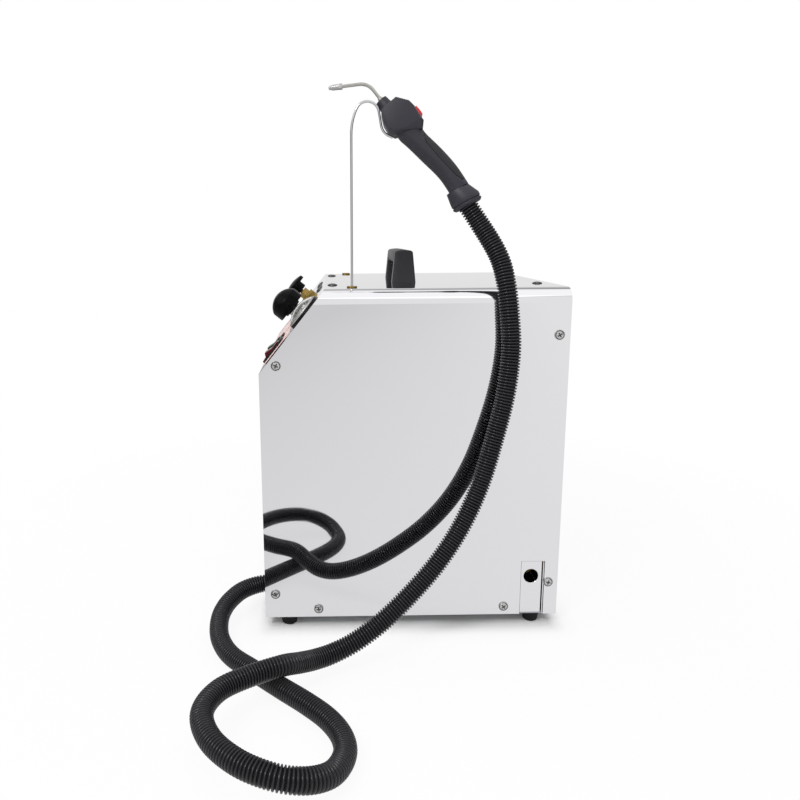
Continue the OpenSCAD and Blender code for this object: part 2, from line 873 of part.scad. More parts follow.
// Black domed cap that screws on the brass neck
module filler_cap() {
    ball = (cap_r * cap_r + cap_dome * cap_dome) / (2 * cap_dome);
    hub = 2.4;
    color(black)
        on_slope(filler_x, filler_s)
            difference() {
                union() {
                    translate([0, 0, cap_up])
                        cylinder(r = cap_r, h = cap_skirt);
                    translate([0, 0, cap_up - hub])
                        cylinder(r = neck_r + 4, h = hub + eps);
                    intersection() {
                        translate([0, 0, cap_up + cap_skirt + cap_dome - ball])
                            sphere(r = ball, $fn = 96);
                        translate([0, 0, cap_up + cap_skirt - eps])
                            cylinder(r = cap_r, h = cap_dome + 1);
                    }
                }
                translate([0, 0, cap_up - hub - 1])
                    cylinder(r = neck_r + neck_fit, h = hub + 10);
            }
}

module brass_block(x, c) {
    translate([x - block / 2, c[0] - block / 2, c[1] - block / 2])
        cube(block);
}

// Filler neck: hexagon on the panel, neck in the cap, and a block behind the panel
module filler_neck() {
    neck_wall = 2.5;
    color(brass)
        difference() {
            union() {
                on_slope(filler_x, filler_s) {
                    translate([0, 0, overlay_t])
                        cylinder(r = neck_r * 1.6, h = 5, $fn = 6);
                    translate([0, 0, -filler_back])
                        cylinder(r = neck_r, h = filler_back + cap_up + 6);
                }
                brass_block(filler_x, filler_block);
            }
            on_slope(filler_x, filler_s, -filler_back)
                cylinder(r = neck_r - neck_wall, h = filler_back + cap_up + 7);
        }
}

// Mushroom knob on the valve's spindle
module steam_knob() {
    ball = (knob_r * knob_r + knob_dome * knob_dome) / (2 * knob_dome);
    color(black)
        on_slope(valve_x, valve_s)
            difference() {
                union() {
                    translate([0, 0, knob_up])
                        cylinder(r = knob_r, h = knob_rim);
                    translate([0, 0, knob_up - hub_h])
                        cylinder(r = hub_r, h = hub_h + eps);
                    intersection() {
                        translate([0, 0, knob_up + knob_rim + knob_dome - ball])
                            sphere(r = ball, $fn = 96);
                        translate([0, 0, knob_up + knob_rim - eps])
                            cylinder(r = knob_r, h = knob_dome + 1);
                    }
                }
                translate([0, 0, knob_up - hub_h - 1])
                    cylinder(r = spindle_r + spindle_fit, h = hub_h + 2);
            }
}

// Steam valve: two hexagons and a spindle in front, and a block behind the panel
module steam_valve() {
    nut_h = 6;
    gland_h = 7.5;
    color(brass) {
        on_slope(valve_x, valve_s) {
            cylinder(r = neck_r * 1.45, h = nut_h, $fn = 6);
            translate([0, 0, nut_h - eps])
                cylinder(r = neck_r, h = gland_h, $fn = 6);
            translate([0, 0, nut_h])
                cylinder(r = spindle_r, h = knob_up - nut_h);
            translate([0, 0, -valve_back])
                cylinder(r = neck_r, h = valve_back + nut_h);
        }
        brass_block(valve_x, valve_block);
    }
}

// Rocker switch: the pivot lies along X, just under the bezel
pivot_h = -3;
function rocker_r() = (switch_l - 2 * switch_rim) / 2 - rocker_fit;

module switch_housing(x) {
    body_l2 = switch_l - 4;
    body_w2 = switch_w - 4;
    base = overlay_t;
    color(black)
        on_slope(x, switch_s, base)
            difference() {
                union() {
                    translate([-switch_w / 2, -switch_l / 2, 0])
                        cube([switch_w, switch_l, switch_t]);
                    translate([-body_w2 / 2, -body_l2 / 2, -switch_d])
                        cube([body_w2, body_l2, switch_d + eps]);
                }
                translate([-switch_w / 2 + switch_rim, -switch_l / 2 + switch_rim, -12])
                    cube([switch_w - 2 * switch_rim, switch_l - 2 * switch_rim, 12 + switch_t + 1]);
                translate([-body_w2 / 2 + 1, 0, pivot_h])
                    rod_x(1.5 + 0.06, body_w2 - 2);
            }
}

// Rocker: a drum round its pivot, cut to two shallow faces, with its pins in one piece
module switch_rocker(x, paint) {
    w = switch_w - 2 * switch_rim - 2 * rocker_fit;
    r = rocker_r();
    proud = switch_t + 3.6 - pivot_h;
    color(paint)
        on_slope(x, switch_s, overlay_t + pivot_h)
            rotate([-rocker_turn / 2, 0, 0]) {
                difference() {
                    intersection() {
                        translate([-w / 2, 0, 0])
                            rod_x(r, w);
                        translate([-w / 2, -r, -5])
                            cube([w, 2 * r, proud + 5]);
                    }
                    for (side = [-1, 1])
                        translate([0, 0, proud - 2.2])
                            rotate([side * 9, 0, 0])
                                translate([-w, side > 0 ? 0 : -2 * r, 0])
                                    cube([2 * w, 2 * r, 2 * r]);
                }
                translate([-switch_w / 2 + 3.4, 0, 0])
                    rod_x(1.5, switch_w - 6.8);
            }
}

module red_housing() switch_housing(red_x);
module red_rocker() switch_rocker(red_x, red);
module green_housing() switch_housing(green_x);
module green_rocker() switch_rocker(green_x, green);

// Brass bush for the hook, one on each side of the top
module hook_bush(x) {
    color(brass)
        translate([x, hook_y, top_z])
            difference() {
                union() {
                    cylinder(r = bush_r, h = bush_h);
                    translate([0, 0, -bush_shank])
                        cylinder(r = bush_shank_r, h = bush_shank + eps);
                }
                translate([0, 0, -bush_shank - 1])
                    cylinder(r = wire_r + wire_fit, h = bush_shank + bush_h + 2);
            }
}

module bush_near() hook_bush(hook_x);
module bush_far() hook_bush(-hook_x);

// Wire hook: a tall stem, an arch, and a cradle that follows the gun's head
module wire_hook() {
    foot_z = top_z - bush_shank;
    turn_in = [cos(arch_end), sin(arch_end)];
    run_dir = [sin(arch_end), -cos(arch_end)];
    run_from = [arch_y, arch_z] + arch_r * turn_in;
    run_to = run_from + cradle_run * run_dir;
    cradle_c = run_to + cradle_r * turn_in;
    last = 180 + arch_end + cradle_turn;
    tip_from = cradle_c + cradle_r * [cos(last), sin(last)];
    shoulder_z = arch_z + (arch_r - shoulder_r) * sin(shoulder_turn);
    color(steel)
        in_side(hook_x) {
            translate([hook_y, foot_z, 0])
                rod_y(wire_r, shoulder_z - foot_z + lap);
            translate([hook_y + shoulder_r, shoulder_z, 0])
                ring_part(shoulder_r, wire_r + swell, 180 - shoulder_turn, shoulder_turn);
            translate([arch_y, arch_z, 0])
                ring_part(arch_r, wire_r + 2 * swell, arch_end, 180 - shoulder_turn - arch_end + 4);
            translate([run_from[0] - lap * run_dir[0], run_from[1] - lap * run_dir[1], 0])
                rotate([0, 0, arch_end - 180])
                    rod_y(wire_r, cradle_run + 2 * lap);
            translate([cradle_c[0], cradle_c[1], 0])
                ring_part(cradle_r, wire_r + swell, 180 + arch_end, cradle_turn);
            translate([tip_from[0], tip_from[1], 0])
                rotate([0, 0, last])
                    translate([0, -lap, 0])
                        rod_y(wire_r, wire_tip + lap);
        }
}

// Smooth value through rows of a table, by a cubic through four neighbours
function blend4(a, b, c, d, t) =
    b + t * ((c - a) / 2 + t * (a - 2.5 * b + 2 * c - d / 2 + t * (1.5 * (b - c) + (d - a) / 2)));
function row_at(rows, i) = rows[max(0, min(len(rows) - 1, i))];
function squash(c) = sign(c) * pow(abs(c), 0.85);

// Faces of a skin over rings of n points, from ring to ring
function skin(first, n, rings) = [
    for (i = [0 : rings - 2], j = [0 : n - 1])
        let (a = first + i * n + j, b = first + i * n + (j + 1) % n)
            each [[a, b + n, b], [a, a + n, b + n]]
];

// Grip: a rounded section lofted through its rows
module grip_loft() {
    n = 28;
    steps = 4;
    sections = [
        for (i = [0 : len(grip_rows) - 2], k = [0 : steps - 1])
            blend4(row_at(grip_rows, i - 1), row_at(grip_rows, i), row_at(grip_rows, i + 1),
                row_at(grip_rows, i + 2), k / steps),
        grip_rows[len(grip_rows) - 1]
    ];
    points = [
        for (s = sections, j = [0 : n - 1])
            let (a = 360 * j / n)
                [s[0], s[1] + s[2] * squash(cos(a)), grip_t * squash(sin(a))]
    ];
    last = (len(sections) - 1) * n;
    polyhedron(points, concat(
        skin(0, n, len(sections)),
        [[for (j = [0 : n - 1]) j]],
        [[for (j = [n - 1 : -1 : 0]) last + j]]
    ), convexity = 4);
}

module gun_form() {
    hull() {
        linear_extrude(height = 2 * head_edge, center = true)
            polygon(head_pts);
        linear_extrude(height = 2 * head_t, center = true)
            polygon(face_pts);
    }
    grip_loft();
}

module past_collar() {
    big = 120;
    translate([collar_u, collar_v, 0])
        rotate([0, 0, -collar_tilt])
            translate([0, -big / 2, -big / 2])
                cube(big);
}

module inlay_cut(gap) {
    linear_extrude(height = 4 * head_t, center = true)
        polygon([for (p = inlay_pts) [p[0] + (p[0] < 60 ? -gap : gap), p[1] - gap]]);
}

module gun_screw_cuts() {
    for (p = gun_screw_pts)
        translate([p[0], p[1], 0]) {
            translate([0, 0, -2 * head_t])
                cylinder(r = gun_screw_head_r + 3 * shank_fit, h = 2 * head_t - gun_screw_seat);
            translate([0, 0, -gun_screw_seat - 1])
                cylinder(r = gun_screw_r + shank_fit, h = gun_screw_l + 2);
        }
}

// One half of the gun's housing, split down its middle
module gun_shell(side) {
    big = 160;
    color(black)
        on_gun()
            difference() {
                intersection() {
                    gun_form();
                    translate([-big / 4, -big / 2, side > 0 ? 0 : -big])
                        cube(big);
                }
                past_collar();
                inlay_cut(inlay_gap);
                translate([button_u, switch_top + 0.3 + big / 2, 0])
                    cube([button_l + 2 * button_fit, big, button_w + 2 * button_fit], center = true);
                translate([button_u, switch_top - 3, 0])
                    cube([10.6, 7, 6.6], center = true);
                gun_screw_cuts();
            }
}

module gun_shell_near() gun_shell(1);
module gun_shell_far() gun_shell(-1);

// Soft inlay along the back of the grip
module gun_inlay() {
    color(rubber_black)
        on_gun()
            difference() {
                intersection() {
                    grip_loft();
                    inlay_cut(0);
                }
                past_collar();
            }
}

module gun_screws() {
    color(dull_steel)
        on_gun()
            for (p = gun_screw_pts)
                translate([p[0], p[1], 0]) {
                    translate([0, 0, -gun_screw_seat - gun_screw_head_h])
                        cylinder(r = gun_screw_head_r, h = gun_screw_head_h);
                    translate([0, 0, -gun_screw_seat - eps])
                        cylinder(r = gun_screw_r, h = gun_screw_l);
                }
}

// Micro-switch under the thumb button
module gun_switch() {
    color(dull_steel)
        on_gun() {
            translate([button_u, switch_top - 3.1, 0])
                cube([10, 6.2, 6], center = true);
            translate([button_u, switch_top + 0.3, 0])
                cube([3, 1.4, 3], center = true);
        }
}

// Red thumb button with a crowned top
module thumb_button() {
    top = button_v + button_up;
    crown = 40;
    color(red)
        on_gun()
            intersection() {
                translate([button_u, (top + button_v - button_deep) / 2, 0])
                    cube([button_l, top - button_v + button_deep, button_w], center = true);
                translate([button_u, top - crown, -button_w])
                    cylinder(r = crown, h = 2 * button_w);
            }
}

// Flared collar at the gun's foot, with the groove round its end
module gun_collar() {
    mouth = 1.5;
    mouth_shift = 2.6;
    rim = 9;
    lip = 2;
    groove = 1;
    groove_w = 1.2;
    color(black)
        on_gun()
            translate([collar_u, collar_v, 0])
                rotate([0, 0, -collar_tilt])
                    rotate([0, 90, 0])
                        difference() {
                            hull() {
                                translate([0, -mouth_shift, 0])
                                    cylinder(r = collar_top_r, h = mouth);
                                translate([0, 0, collar_l - rim])
                                    cylinder(r = collar_r, h = rim - lip);
                                translate([0, 0, collar_l - lip])
                                    cylinder(r = collar_r - lip, h = lip);
                            }
                            translate([0, 0, -1])
                                cylinder(r = hose_bore - 1, h = collar_l + 2);
                            translate([0, 0, collar_l - 5])
                                difference() {
                                    cylinder(r = collar_r + 1, h = groove_w);
                                    translate([0, 0, -1])
                                        cylinder(r = collar_r - groove, h = groove_w + 2);
                                }
                        }
}

// Socket on the gun's head that holds the nozzle tube
module nozzle_socket() {
    color(black)
        on_gun()
            translate([socket_u, socket_v, 0])
                rotate([0, -90, 0])
                    difference() {
                        union() {
                            cylinder(r = socket_r, h = 2);
                            translate([0, 0, 2 - eps])
                                cylinder(r1 = socket_r - 0.4, r2 = socket_tip_r,
                                    h = socket_l - 2 + eps);
                        }
                        translate([0, 0, 2])
                            cylinder(r = tube_r + 0.03, h = socket_l);
                    }
}

// The nozzle's line from the socket: straight, bend, straight
tube_start = 13.5;
module tube_line(r) {
    bend_u = socket_u - socket_l - tube_start;
    far = 90 + tube_turn;
    translate([socket_u - 2.2, socket_v, 0])
        rotate([0, 0, 90])
            rod_y(r, socket_l + tube_start - 2.2 + lap);
    translate([bend_u, socket_v - tube_bend, 0]) {
        ring_part(tube_bend, r + swell, 90, tube_turn);
        translate([tube_bend * cos(far), tube_bend * sin(far), 0])
            rotate([0, 0, far])
                translate([0, -lap, 0])
                    rod_y(r, tube_l + lap);
    }
}

module nozzle_tube() {
    color(steel)
        on_gun()
            difference() {
                union() {
                    tube_line(tube_r);
                    translate([socket_u - socket_l, socket_v, 0])
                        rotate([0, -90, 0])
                            cylinder(r1 = 3.4, r2 = tube_r, h = 4);
                }
                tube_line(steam_way_r);
            }
}

// Hexagon, body and cone of the nozzle tip on the tube's end
module nozzle_tip() {
    bend_u = socket_u - socket_l - tube_start;
    far = 90 + tube_turn;
    hex_l = 3.5;
    mid_l = 6.5;
    cone_l = 4.6;
    hex_r = 3.3;
    tip_r = 2.9;
    end_r = 1.6;
    lap = 3;
    color(dull_steel)
        on_gun()
            translate([bend_u, socket_v - tube_bend, 0])
                translate([tube_bend * cos(far), tube_bend * sin(far), 0])
                    rotate([0, 0, far])
                        translate([0, tube_l - lap, 0])
                            rotate([-90, 0, 0])
                                difference() {
                                    union() {
                                        cylinder(r = hex_r, h = hex_l, $fn = 6);
                                        cylinder(r = tip_r, h = hex_l + mid_l);
                                        translate([0, 0, hex_l + mid_l - eps])
                                            cylinder(r1 = tip_r, r2 = end_r, h = cone_l);
                                    }
                                    translate([0, 0, -1])
                                        cylinder(r = tube_r + 0.03, h = lap + 1);
                                    cylinder(r = steam_way_r, h = hex_l + mid_l + cone_l + 1);
                                }
}

// Point and lengths along a curve of Hermite pieces through the hose's route
function curve_point(p, q, m, n, t) =
    let (t2 = t * t, t3 = t2 * t)
        (2 * t3 - 3 * t2 + 1) * p + (t3 - 2 * t2 + t) * m
            + (3 * t2 - 2 * t3) * q + (t3 - t2) * n;
function sum_up(steps) = [for (i = 0, s = 0; i <= len(steps); s = s + (i < len(steps) ? steps[i] : 0),
    i = i + 1) s];
function unit(v) = v / norm(v);

// Ribbed hose: one tube with its bore, swept along the route at even steps
module hose() {
    n = 8;
    per_piece = 8;
    bore_every = 5;
    stub = 2 * hose_r;
    from = [hose_x, front_y + hose_in, hose_z];
    from_dir = [0, -1, 0];
    away = collar_l + hose_gap + hose_r * sin(collar_tilt - hose_tilt);
    end = gun_point([collar_u, collar_v, 0] + away * [cos(collar_tilt), -sin(collar_tilt), 0]);
    end_dir = gun_point([cos(hose_tilt), -sin(hose_tilt), 0]) - gun_at;
    near = [half_w, 0, 0];
    knots = concat([from + stub * from_dir], [for (p = route) near + p], [end + stub / 2 * end_dir]);
    last = len(knots) - 1;
    slopes = [
        for (i = [0 : last])
            i == 0 ? norm(knots[1] - knots[0]) * from_dir
                : i == last ? -norm(knots[last] - knots[last - 1]) * end_dir
                : (knots[i + 1] - knots[i - 1]) / 2
    ];
    line = concat(
        [from],
        [for (i = [0 : last - 1], k = [0 : per_piece - 1])
            curve_point(knots[i], knots[i + 1], slopes[i], slopes[i + 1], k / per_piece)],
        [knots[last], end]
    );
    marks = sum_up([for (i = [1 : len(line) - 1]) norm(line[i] - line[i - 1])]);
    length = marks[len(line) - 1];
    tables = [for (axis = [0 : 2]) [for (i = [0 : len(line) - 1]) [marks[i], line[i][axis]]]];
    rings = 2 * rib_count + 1;
    step = length / (rings - 1);
    spots = [for (i = [0 : rings - 1]) [for (axis = [0 : 2]) lookup(i * step, tables[axis])]];
    ways = [for (i = [0 : rings - 1])
        i == 0 ? from_dir : i == rings - 1 ? -end_dir : unit(spots[i + 1] - spots[i - 1])];
    sides = [for (i = 0, v = [1, 0, 0]; i < rings;
        i = i + 1, v = i < rings ? unit(v - (v * ways[i]) * ways[i]) : v) v];
    function ring(i, r) = [
        for (j = [0 : n - 1])
            let (a = 360 * j / n, up = cross(ways[i], sides[i]))
                spots[i] + r * (cos(a) * sides[i] + sin(a) * up)
    ];
    bores = (rings - 1) / bore_every + 1;
    points = concat(
        [for (i = [0 : rings - 1]) each ring(i, i % 2 == 0 ? hose_r - rib_d : hose_r)],
        [for (i = [0 : bores - 1]) each ring(i * bore_every, hose_bore)]
    );
    outer_end = (rings - 1) * n;
    inner = rings * n;
    inner_end = inner + (bores - 1) * n;
    faces = concat(
        skin(0, n, rings),
        [for (f = skin(inner, n, bores)) [f[0], f[2], f[1]]],
        [for (j = [0 : n - 1]) let (k = (j + 1) % n)
            each [[inner + j, k, inner + k], [inner + j, j, k]]],
        [for (j = [0 : n - 1]) let (k = (j + 1) % n)
            each [[outer_end + j, inner_end + k, outer_end + k],
                [outer_end + j, inner_end + j, inner_end + k]]]
    );
    apart = [for (i = [0 : 2 : rings - 1], j = [i + 24 : 2 : rings - 1]) norm(spots[i] - spots[j])];
    echo(hose_length = length, least_gap_to_itself = min(apart) - 2 * hose_r);
    color(rubber_black)
        polyhedron(points, faces, convexity = 8);
}

// Rubber grommet in the front sheet, round the hose
module hose_grommet() {
    lip = 2.5;
    lip_r = hose_r + 6;
    back_r = min(lip_r, hose_z - tray_z - hose_fit);
    color(rubber_black)
        translate([hose_x, front_y - lip, hose_z])
            difference() {
                union() {
                    rod_y(lip_r, lip);
                    rod_y(hose_r + 3 - shank_fit, 2 * lip + sheet);
                    translate([0, lip + sheet, 0])
                        rod_y(back_r, lip);
                }
                translate([0, -1, 0])
                    rod_y(hose_r + hose_fit, 2 * lip + sheet + 2);
            }
}

// Brass tail that the hose ends on, up to the solenoid valve
module hose_fitting() {
    flange_l = 4;
    color(brass)
        translate([hose_x, front_y + hose_in, hose_z]) {
            rod_y(hose_r + 1, flange_l);
            rod_y(hose_bore, solenoid_y - front_y - hose_in);
        }
}

// Solenoid valve on the tray, with its coil
module solenoid_valve() {
    color(brass)
        translate([hose_x - solenoid[0] / 2, solenoid_y, tray_z])
            cube(solenoid);
    color(black)
        translate([hose_x, solenoid_y + solenoid[1] / 2, tray_z + solenoid[2] - eps])
            cylinder(r = coil_r, h = coil_h);
}

// Boiler body with dished ends, drawn about its own axis
module boiler_form(inset) {
    steps = 5;
    ball = (boiler_r * boiler_r + boiler_dome * boiler_dome) / (2 * boiler_dome);
    edge = asin(boiler_r / ball);
    mid = boiler_l / 2 + boiler_dome - ball;
    arc = [
        for (i = [0 : steps])
            let (a = edge * i / steps)
                [i == 0 ? 0 : (ball - inset) * sin(a), mid + (ball - inset) * cos(a)]
    ];
    rim = boiler_r - inset;
    side = [for (p = arc) [min(p[0], rim), p[1]]];
    translate([boiler_x, boiler_y, boiler_z])
        rotate([0, 90, 0])
            rotate_extrude()
                polygon(concat(side, [for (i = [steps : -1 : 0]) [side[i][0], -side[i][1]]]));
}

// Boiler: hollow shell with domed ends and flat bosses for its fittings
module boiler() {
    bury = 12;
    color(dull_steel)
        difference() {
            union() {
                boiler_form(0);
                for (x = [filler_x, valve_x, safety_x, pressure_x])
                    translate([x, boiler_y, boss_top - boss_up - bury])
                        cylinder(r = boss_r, h = boss_up + bury);
                translate([filler_x, boiler_y, boss_low])
                    cylinder(r = boss_r, h = boss_up + bury);
                translate([end_boss_x, boiler_y, boiler_z])
                    rod_x(end_boss_r, bury);
            }
            boiler_form(boiler_t);
        }
}

// Two sheet saddles that carry the boiler on the tray
module boiler_saddles() {
    half = boiler_r * 0.65;
    top = boiler_z - boiler_r * 0.53;
    foot_l = 18;
    seat = 0.2;
    color(dull_steel)
        for (side = [-1, 1])
            translate([boiler_x + side * boiler_l * 0.42, 0, 0])
                difference() {
                    union() {
                        translate([-saddle_t / 2, boiler_y - half, tray_z])
                            cube([saddle_t, 2 * half, top - tray_z]);
                        translate([-foot_l / 2, boiler_y - half, tray_z])
                            cube([foot_l, 2 * half, saddle_t]);
                    }
                    translate([-foot_l, boiler_y, boiler_z])
                        rod_x(boiler_r + seat, 2 * foot_l);
                }
}

// Heater flange on the boiler's end with its three terminals
module heater() {
    plate = 8;
    post = 9;
    post_r = 3;
    ring = end_boss_r * 0.53;
    color(dull_steel) {
        translate([end_boss_x - plate, boiler_y, boiler_z])
            rod_x(end_boss_r, plate);
        for (a = [90, 210, 330])
            translate([end_boss_x - plate - post, boiler_y + ring * cos(a), boiler_z + ring * sin(a)])
                rod_x(post_r, post + eps);
    }
}

module safety_valve() {
    color(brass)
        translate([safety_x, boiler_y, boss_top]) {
            cylinder(r = 10, h = 9, $fn = 6);
            cylinder(r = 7, h = 34);
            translate([0, 0, 30])
                cylinder(r = 3, h = 14);
        }
}

module pressure_switch() {
    color(brass)
        translate([pressure_x, boiler_y, boss_top])
            cylinder(r = 7, h = 12, $fn = 6);
    color(black)
        translate([pressure_x, boiler_y, boss_top + 12 - eps])
            cylinder(r = 15, h = 26);
}

// Pipe from a block behind the slope, back over the boiler and down to its boss
module riser_line(x, c, r, elbow) {
    z = c[1];
    y0 = c[0] + block / 2;
    turn_y = boiler_y - pipe_bend;
    translate([x, y0, z])
        rod_y(r, turn_y - y0 + lap);
    in_side(x)
        translate([turn_y, z - pipe_bend, 0])
            ring_part(pipe_bend, elbow, 0, 90);
    translate([x, boiler_y, boss_top])
        cylinder(r = r, h = z - pipe_bend - boss_top + lap);
}

module riser(x, c) {
    color(brass)
        difference() {
            riser_line(x, c, pipe_r, pipe_r + elbow_t);
            riser_line(x, c, pipe_r - pipe_t, pipe_r - pipe_t + swell);
        }
}

module filler_pipe() riser(filler_x, filler_block);
module steam_pipe() riser(valve_x, valve_block);

// Pipe from the steam valve down and across to the solenoid valve
module outlet_line(r, elbow) {
    z = tray_z + solenoid[2] * 0.6;
    y = valve_block[0];
    z1 = valve_block[1] - block / 2;
    x1 = hose_x - solenoid[0] / 2;
    translate([valve_x, y, z + pipe_bend - lap])
        cylinder(r = r, h = z1 - z - pipe_bend + lap);
    translate([valve_x + pipe_bend, y, z + pipe_bend])
        rotate([90, 0, 0])
            ring_part(pipe_bend, elbow, 180, 90);
    translate([valve_x + pipe_bend - lap, y, z])
        rod_x(r, x1 - valve_x - pipe_bend + lap);
}

module outlet_pipe() {
    color(brass)
        difference() {
            outlet_line(pipe_r, pipe_r + elbow_t);
            outlet_line(pipe_r - pipe_t, pipe_r - pipe_t + swell);
        }
}

// Drain valve behind the hole in the drain plate
module drain_valve() {
    lever_r = 5;
    mouth = 14;
    color(brass)
        difference() {
            union() {
                translate([drain_x1 - drain_valve_l, drain_y, drain_z])
                    rod_x(drain_valve_r, drain_valve_l);
                translate([drain_x1 - drain_valve_l * 0.6, drain_y, drain_z])
                    cylinder(r = lever_r, h = drain_valve_r + 8);
            }
            translate([drain_x1 - mouth, drain_y, drain_z])
                rod_x(drain_valve_r * 0.6, mouth + 1);
        }
}

// Pipe from the drain valve, round behind the boiler and up to its lowest boss
module drain_line(r, elbow) {
    x1 = drain_x1 - drain_valve_l;
    turn_x = filler_x + pipe_bend;
    turn_y = boiler_y + pipe_bend;
    translate([turn_x - lap, drain_y, drain_z])
        rod_x(r, x1 - turn_x + lap);
    translate([turn_x, drain_y - pipe_bend, drain_z])
        ring_part(pipe_bend, elbow, 90, 90);
    translate([filler_x, turn_y - lap, drain_z])
        rod_y(r, drain_y - pipe_bend - turn_y + 2 * lap);
    in_side(filler_x)
        translate([turn_y, drain_z + pipe_bend, 0])
            ring_part(pipe_bend, elbow, 180, 90);
    translate([filler_x, boiler_y, drain_z + pipe_bend - lap])
        cylinder(r = r, h = boss_low - drain_z - pipe_bend + lap);
}

module drain_pipe() {
    color(brass)
        difference() {
            drain_line(pipe_r, pipe_r + elbow_t);
            drain_line(pipe_r - pipe_t, pipe_r - pipe_t + swell);
        }
}

// Terminal block on the tray
module terminal_block() {
    size = [70, 22, 18];
    away = [30, 24];
    ways = 5;
    slot = [8, 14, 5];
    pitch = (size[0] - slot[0]) / ways;
    color(white)
        translate([away[0] - inner_x, rear_y - away[1] - size[1], tray_z])
            difference() {
                cube(size);
                for (i = [0 : ways - 1])
                    translate([slot[0] + pitch * i, (size[1] - slot[1]) / 2, size[2] - slot[2]])
                        cube([slot[0], slot[1], slot[2] + 1]);
            }
}

// Three-pin power inlet in the back sheet
inlet_x = 75 - half_w;
inlet_z = foot_h + 60;
inlet_screw = 20;
module inlet_cut(l, gap) {
    translate([-14 - gap, 0, -10 - gap])
        cube([28 + 2 * gap, l, 20 + 2 * gap]);
}

module power_inlet() {
    plate = 2.5;
    deep = 18;
    wall = 1.5;
    pin = [4, 12, 2];
    color(black)
        translate([inlet_x, rear_y, inlet_z]) {
            difference() {
                union() {
                    translate([-inlet_screw, 0, -12])
                        cube([2 * inlet_screw, plate, 24]);
                    for (side = [-1, 1])
                        translate([side * inlet_screw, 0, 0])
                            rod_y(6, plate);
                    translate([0, -deep - wall, 0])
                        inlet_cut(deep + wall + eps, 0);
                }
                translate([-14 + wall, -deep, -10 + wall])
                    cube([28 - 2 * wall, deep + plate + 1, 20 - 2 * wall]);
                for (side = [-1, 1])
                    translate([side * inlet_screw, -1, 0])
                        rod_y(shank_r * 0.75 + shank_fit, plate + 2);
            }
            for (p = [[-7, -4], [7, -4], [0, 3.5]])
                translate([p[0] - pin[0] / 2, -deep - eps, p[1] - pin[2] / 2])
                    cube(pin);
        }
}

module inlet_screws() {
    plate = 2.5;
    color(dull_steel)
        for (side = [-1, 1])
            translate([inlet_x + side * inlet_screw, rear_y + plate, inlet_z])
                rotate([-90, 0, 0]) {
                    cylinder(r = 2.8, h = 1.6);
                    translate([0, 0, -8])
                        cylinder(r = shank_r * 0.75, h = 8 + eps);
                }
}

cover();
front_panel();
back_panel();
base_tray();
drain_plate();
foot_fn();
foot_ff();
foot_rn();
foot_rf();
side_screws();
top_screws();
slope_screws();
carry_handle();
handle_screws();
overlay();
gauge_case();
gauge_bezel();
gauge_window();
gauge_dial();
gauge_needle();
filler_cap();
filler_neck();
steam_knob();
steam_valve();
red_housing();
red_rocker();
green_housing();
green_rocker();
bush_near();
bush_far();
wire_hook();
gun_shell_near();
gun_shell_far();
gun_inlay();
gun_collar();
gun_screws();
gun_switch();
thumb_button();
nozzle_socket();
nozzle_tube();
nozzle_tip();
hose();
hose_grommet();
hose_fitting();
solenoid_valve();
boiler();
boiler_saddles();
heater();
safety_valve();
pressure_switch();
filler_pipe();
steam_pipe();
outlet_pipe();
drain_valve();
drain_pipe();
terminal_block();
power_inlet();
inlet_screws();
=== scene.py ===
# %% [markdown]
# # Dry steam cleaner
# The machine is a box of mirror-polished stainless sheet with a sloped control panel, a carry
# handle, a wire hook, and a steam gun on a ribbed hose. Its solids come packed as a fixed frame, in
# metres. This file gives each of them its finish, and models again the pieces whose rounded edges,
# ribs or small marks the eye looks for.

# %% Load the frame
import bpy
import json
import math
import numpy as np
from mathutils import Matrix, Vector


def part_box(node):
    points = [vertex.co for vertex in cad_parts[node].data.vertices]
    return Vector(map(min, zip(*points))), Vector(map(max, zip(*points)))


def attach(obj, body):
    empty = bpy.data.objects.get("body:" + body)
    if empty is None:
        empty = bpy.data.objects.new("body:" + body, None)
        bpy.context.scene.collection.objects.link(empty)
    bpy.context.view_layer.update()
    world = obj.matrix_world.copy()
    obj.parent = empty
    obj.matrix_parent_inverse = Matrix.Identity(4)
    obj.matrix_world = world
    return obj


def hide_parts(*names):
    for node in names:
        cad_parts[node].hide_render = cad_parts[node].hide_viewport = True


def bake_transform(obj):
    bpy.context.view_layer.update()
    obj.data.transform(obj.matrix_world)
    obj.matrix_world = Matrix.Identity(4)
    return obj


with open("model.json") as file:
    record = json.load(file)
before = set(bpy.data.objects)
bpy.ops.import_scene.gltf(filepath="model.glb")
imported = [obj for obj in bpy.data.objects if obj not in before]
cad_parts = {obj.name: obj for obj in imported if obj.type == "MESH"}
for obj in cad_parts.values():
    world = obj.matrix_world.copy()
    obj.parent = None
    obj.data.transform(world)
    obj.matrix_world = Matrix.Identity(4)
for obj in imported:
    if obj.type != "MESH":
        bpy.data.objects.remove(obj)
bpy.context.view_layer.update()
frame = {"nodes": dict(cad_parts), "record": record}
nodes = frame["nodes"]

# %% [markdown]
# ## Camera
# The photograph is taken from the near side, a little above the machine. A pinhole is worked out
# from the case's corners: where it stands, how far it looks down, and its focal length in pixels.
# It could also be nudged by eye, but the corners fix it in one go. The case sits off the picture's
# middle, so the lens is shifted as the framing needs.

# %% Camera
def look(yaw, pitch, roll):
    """Turn of a camera that looks along -X, yawed, pitched down and rolled, in degrees."""
    y, p, r = (math.radians(a) for a in (yaw, pitch, roll))
    ahead = Vector((-math.cos(p) * math.cos(y), math.cos(p) * math.sin(y), -math.sin(p)))
    right = ahead.cross(Vector((0, 0, 1))).normalized()
    up = right.cross(ahead)
    right, up = math.cos(r) * right + math.sin(r) * up, math.cos(r) * up - math.sin(r) * right
    return Matrix((right, up, -ahead)).transposed().to_4x4()

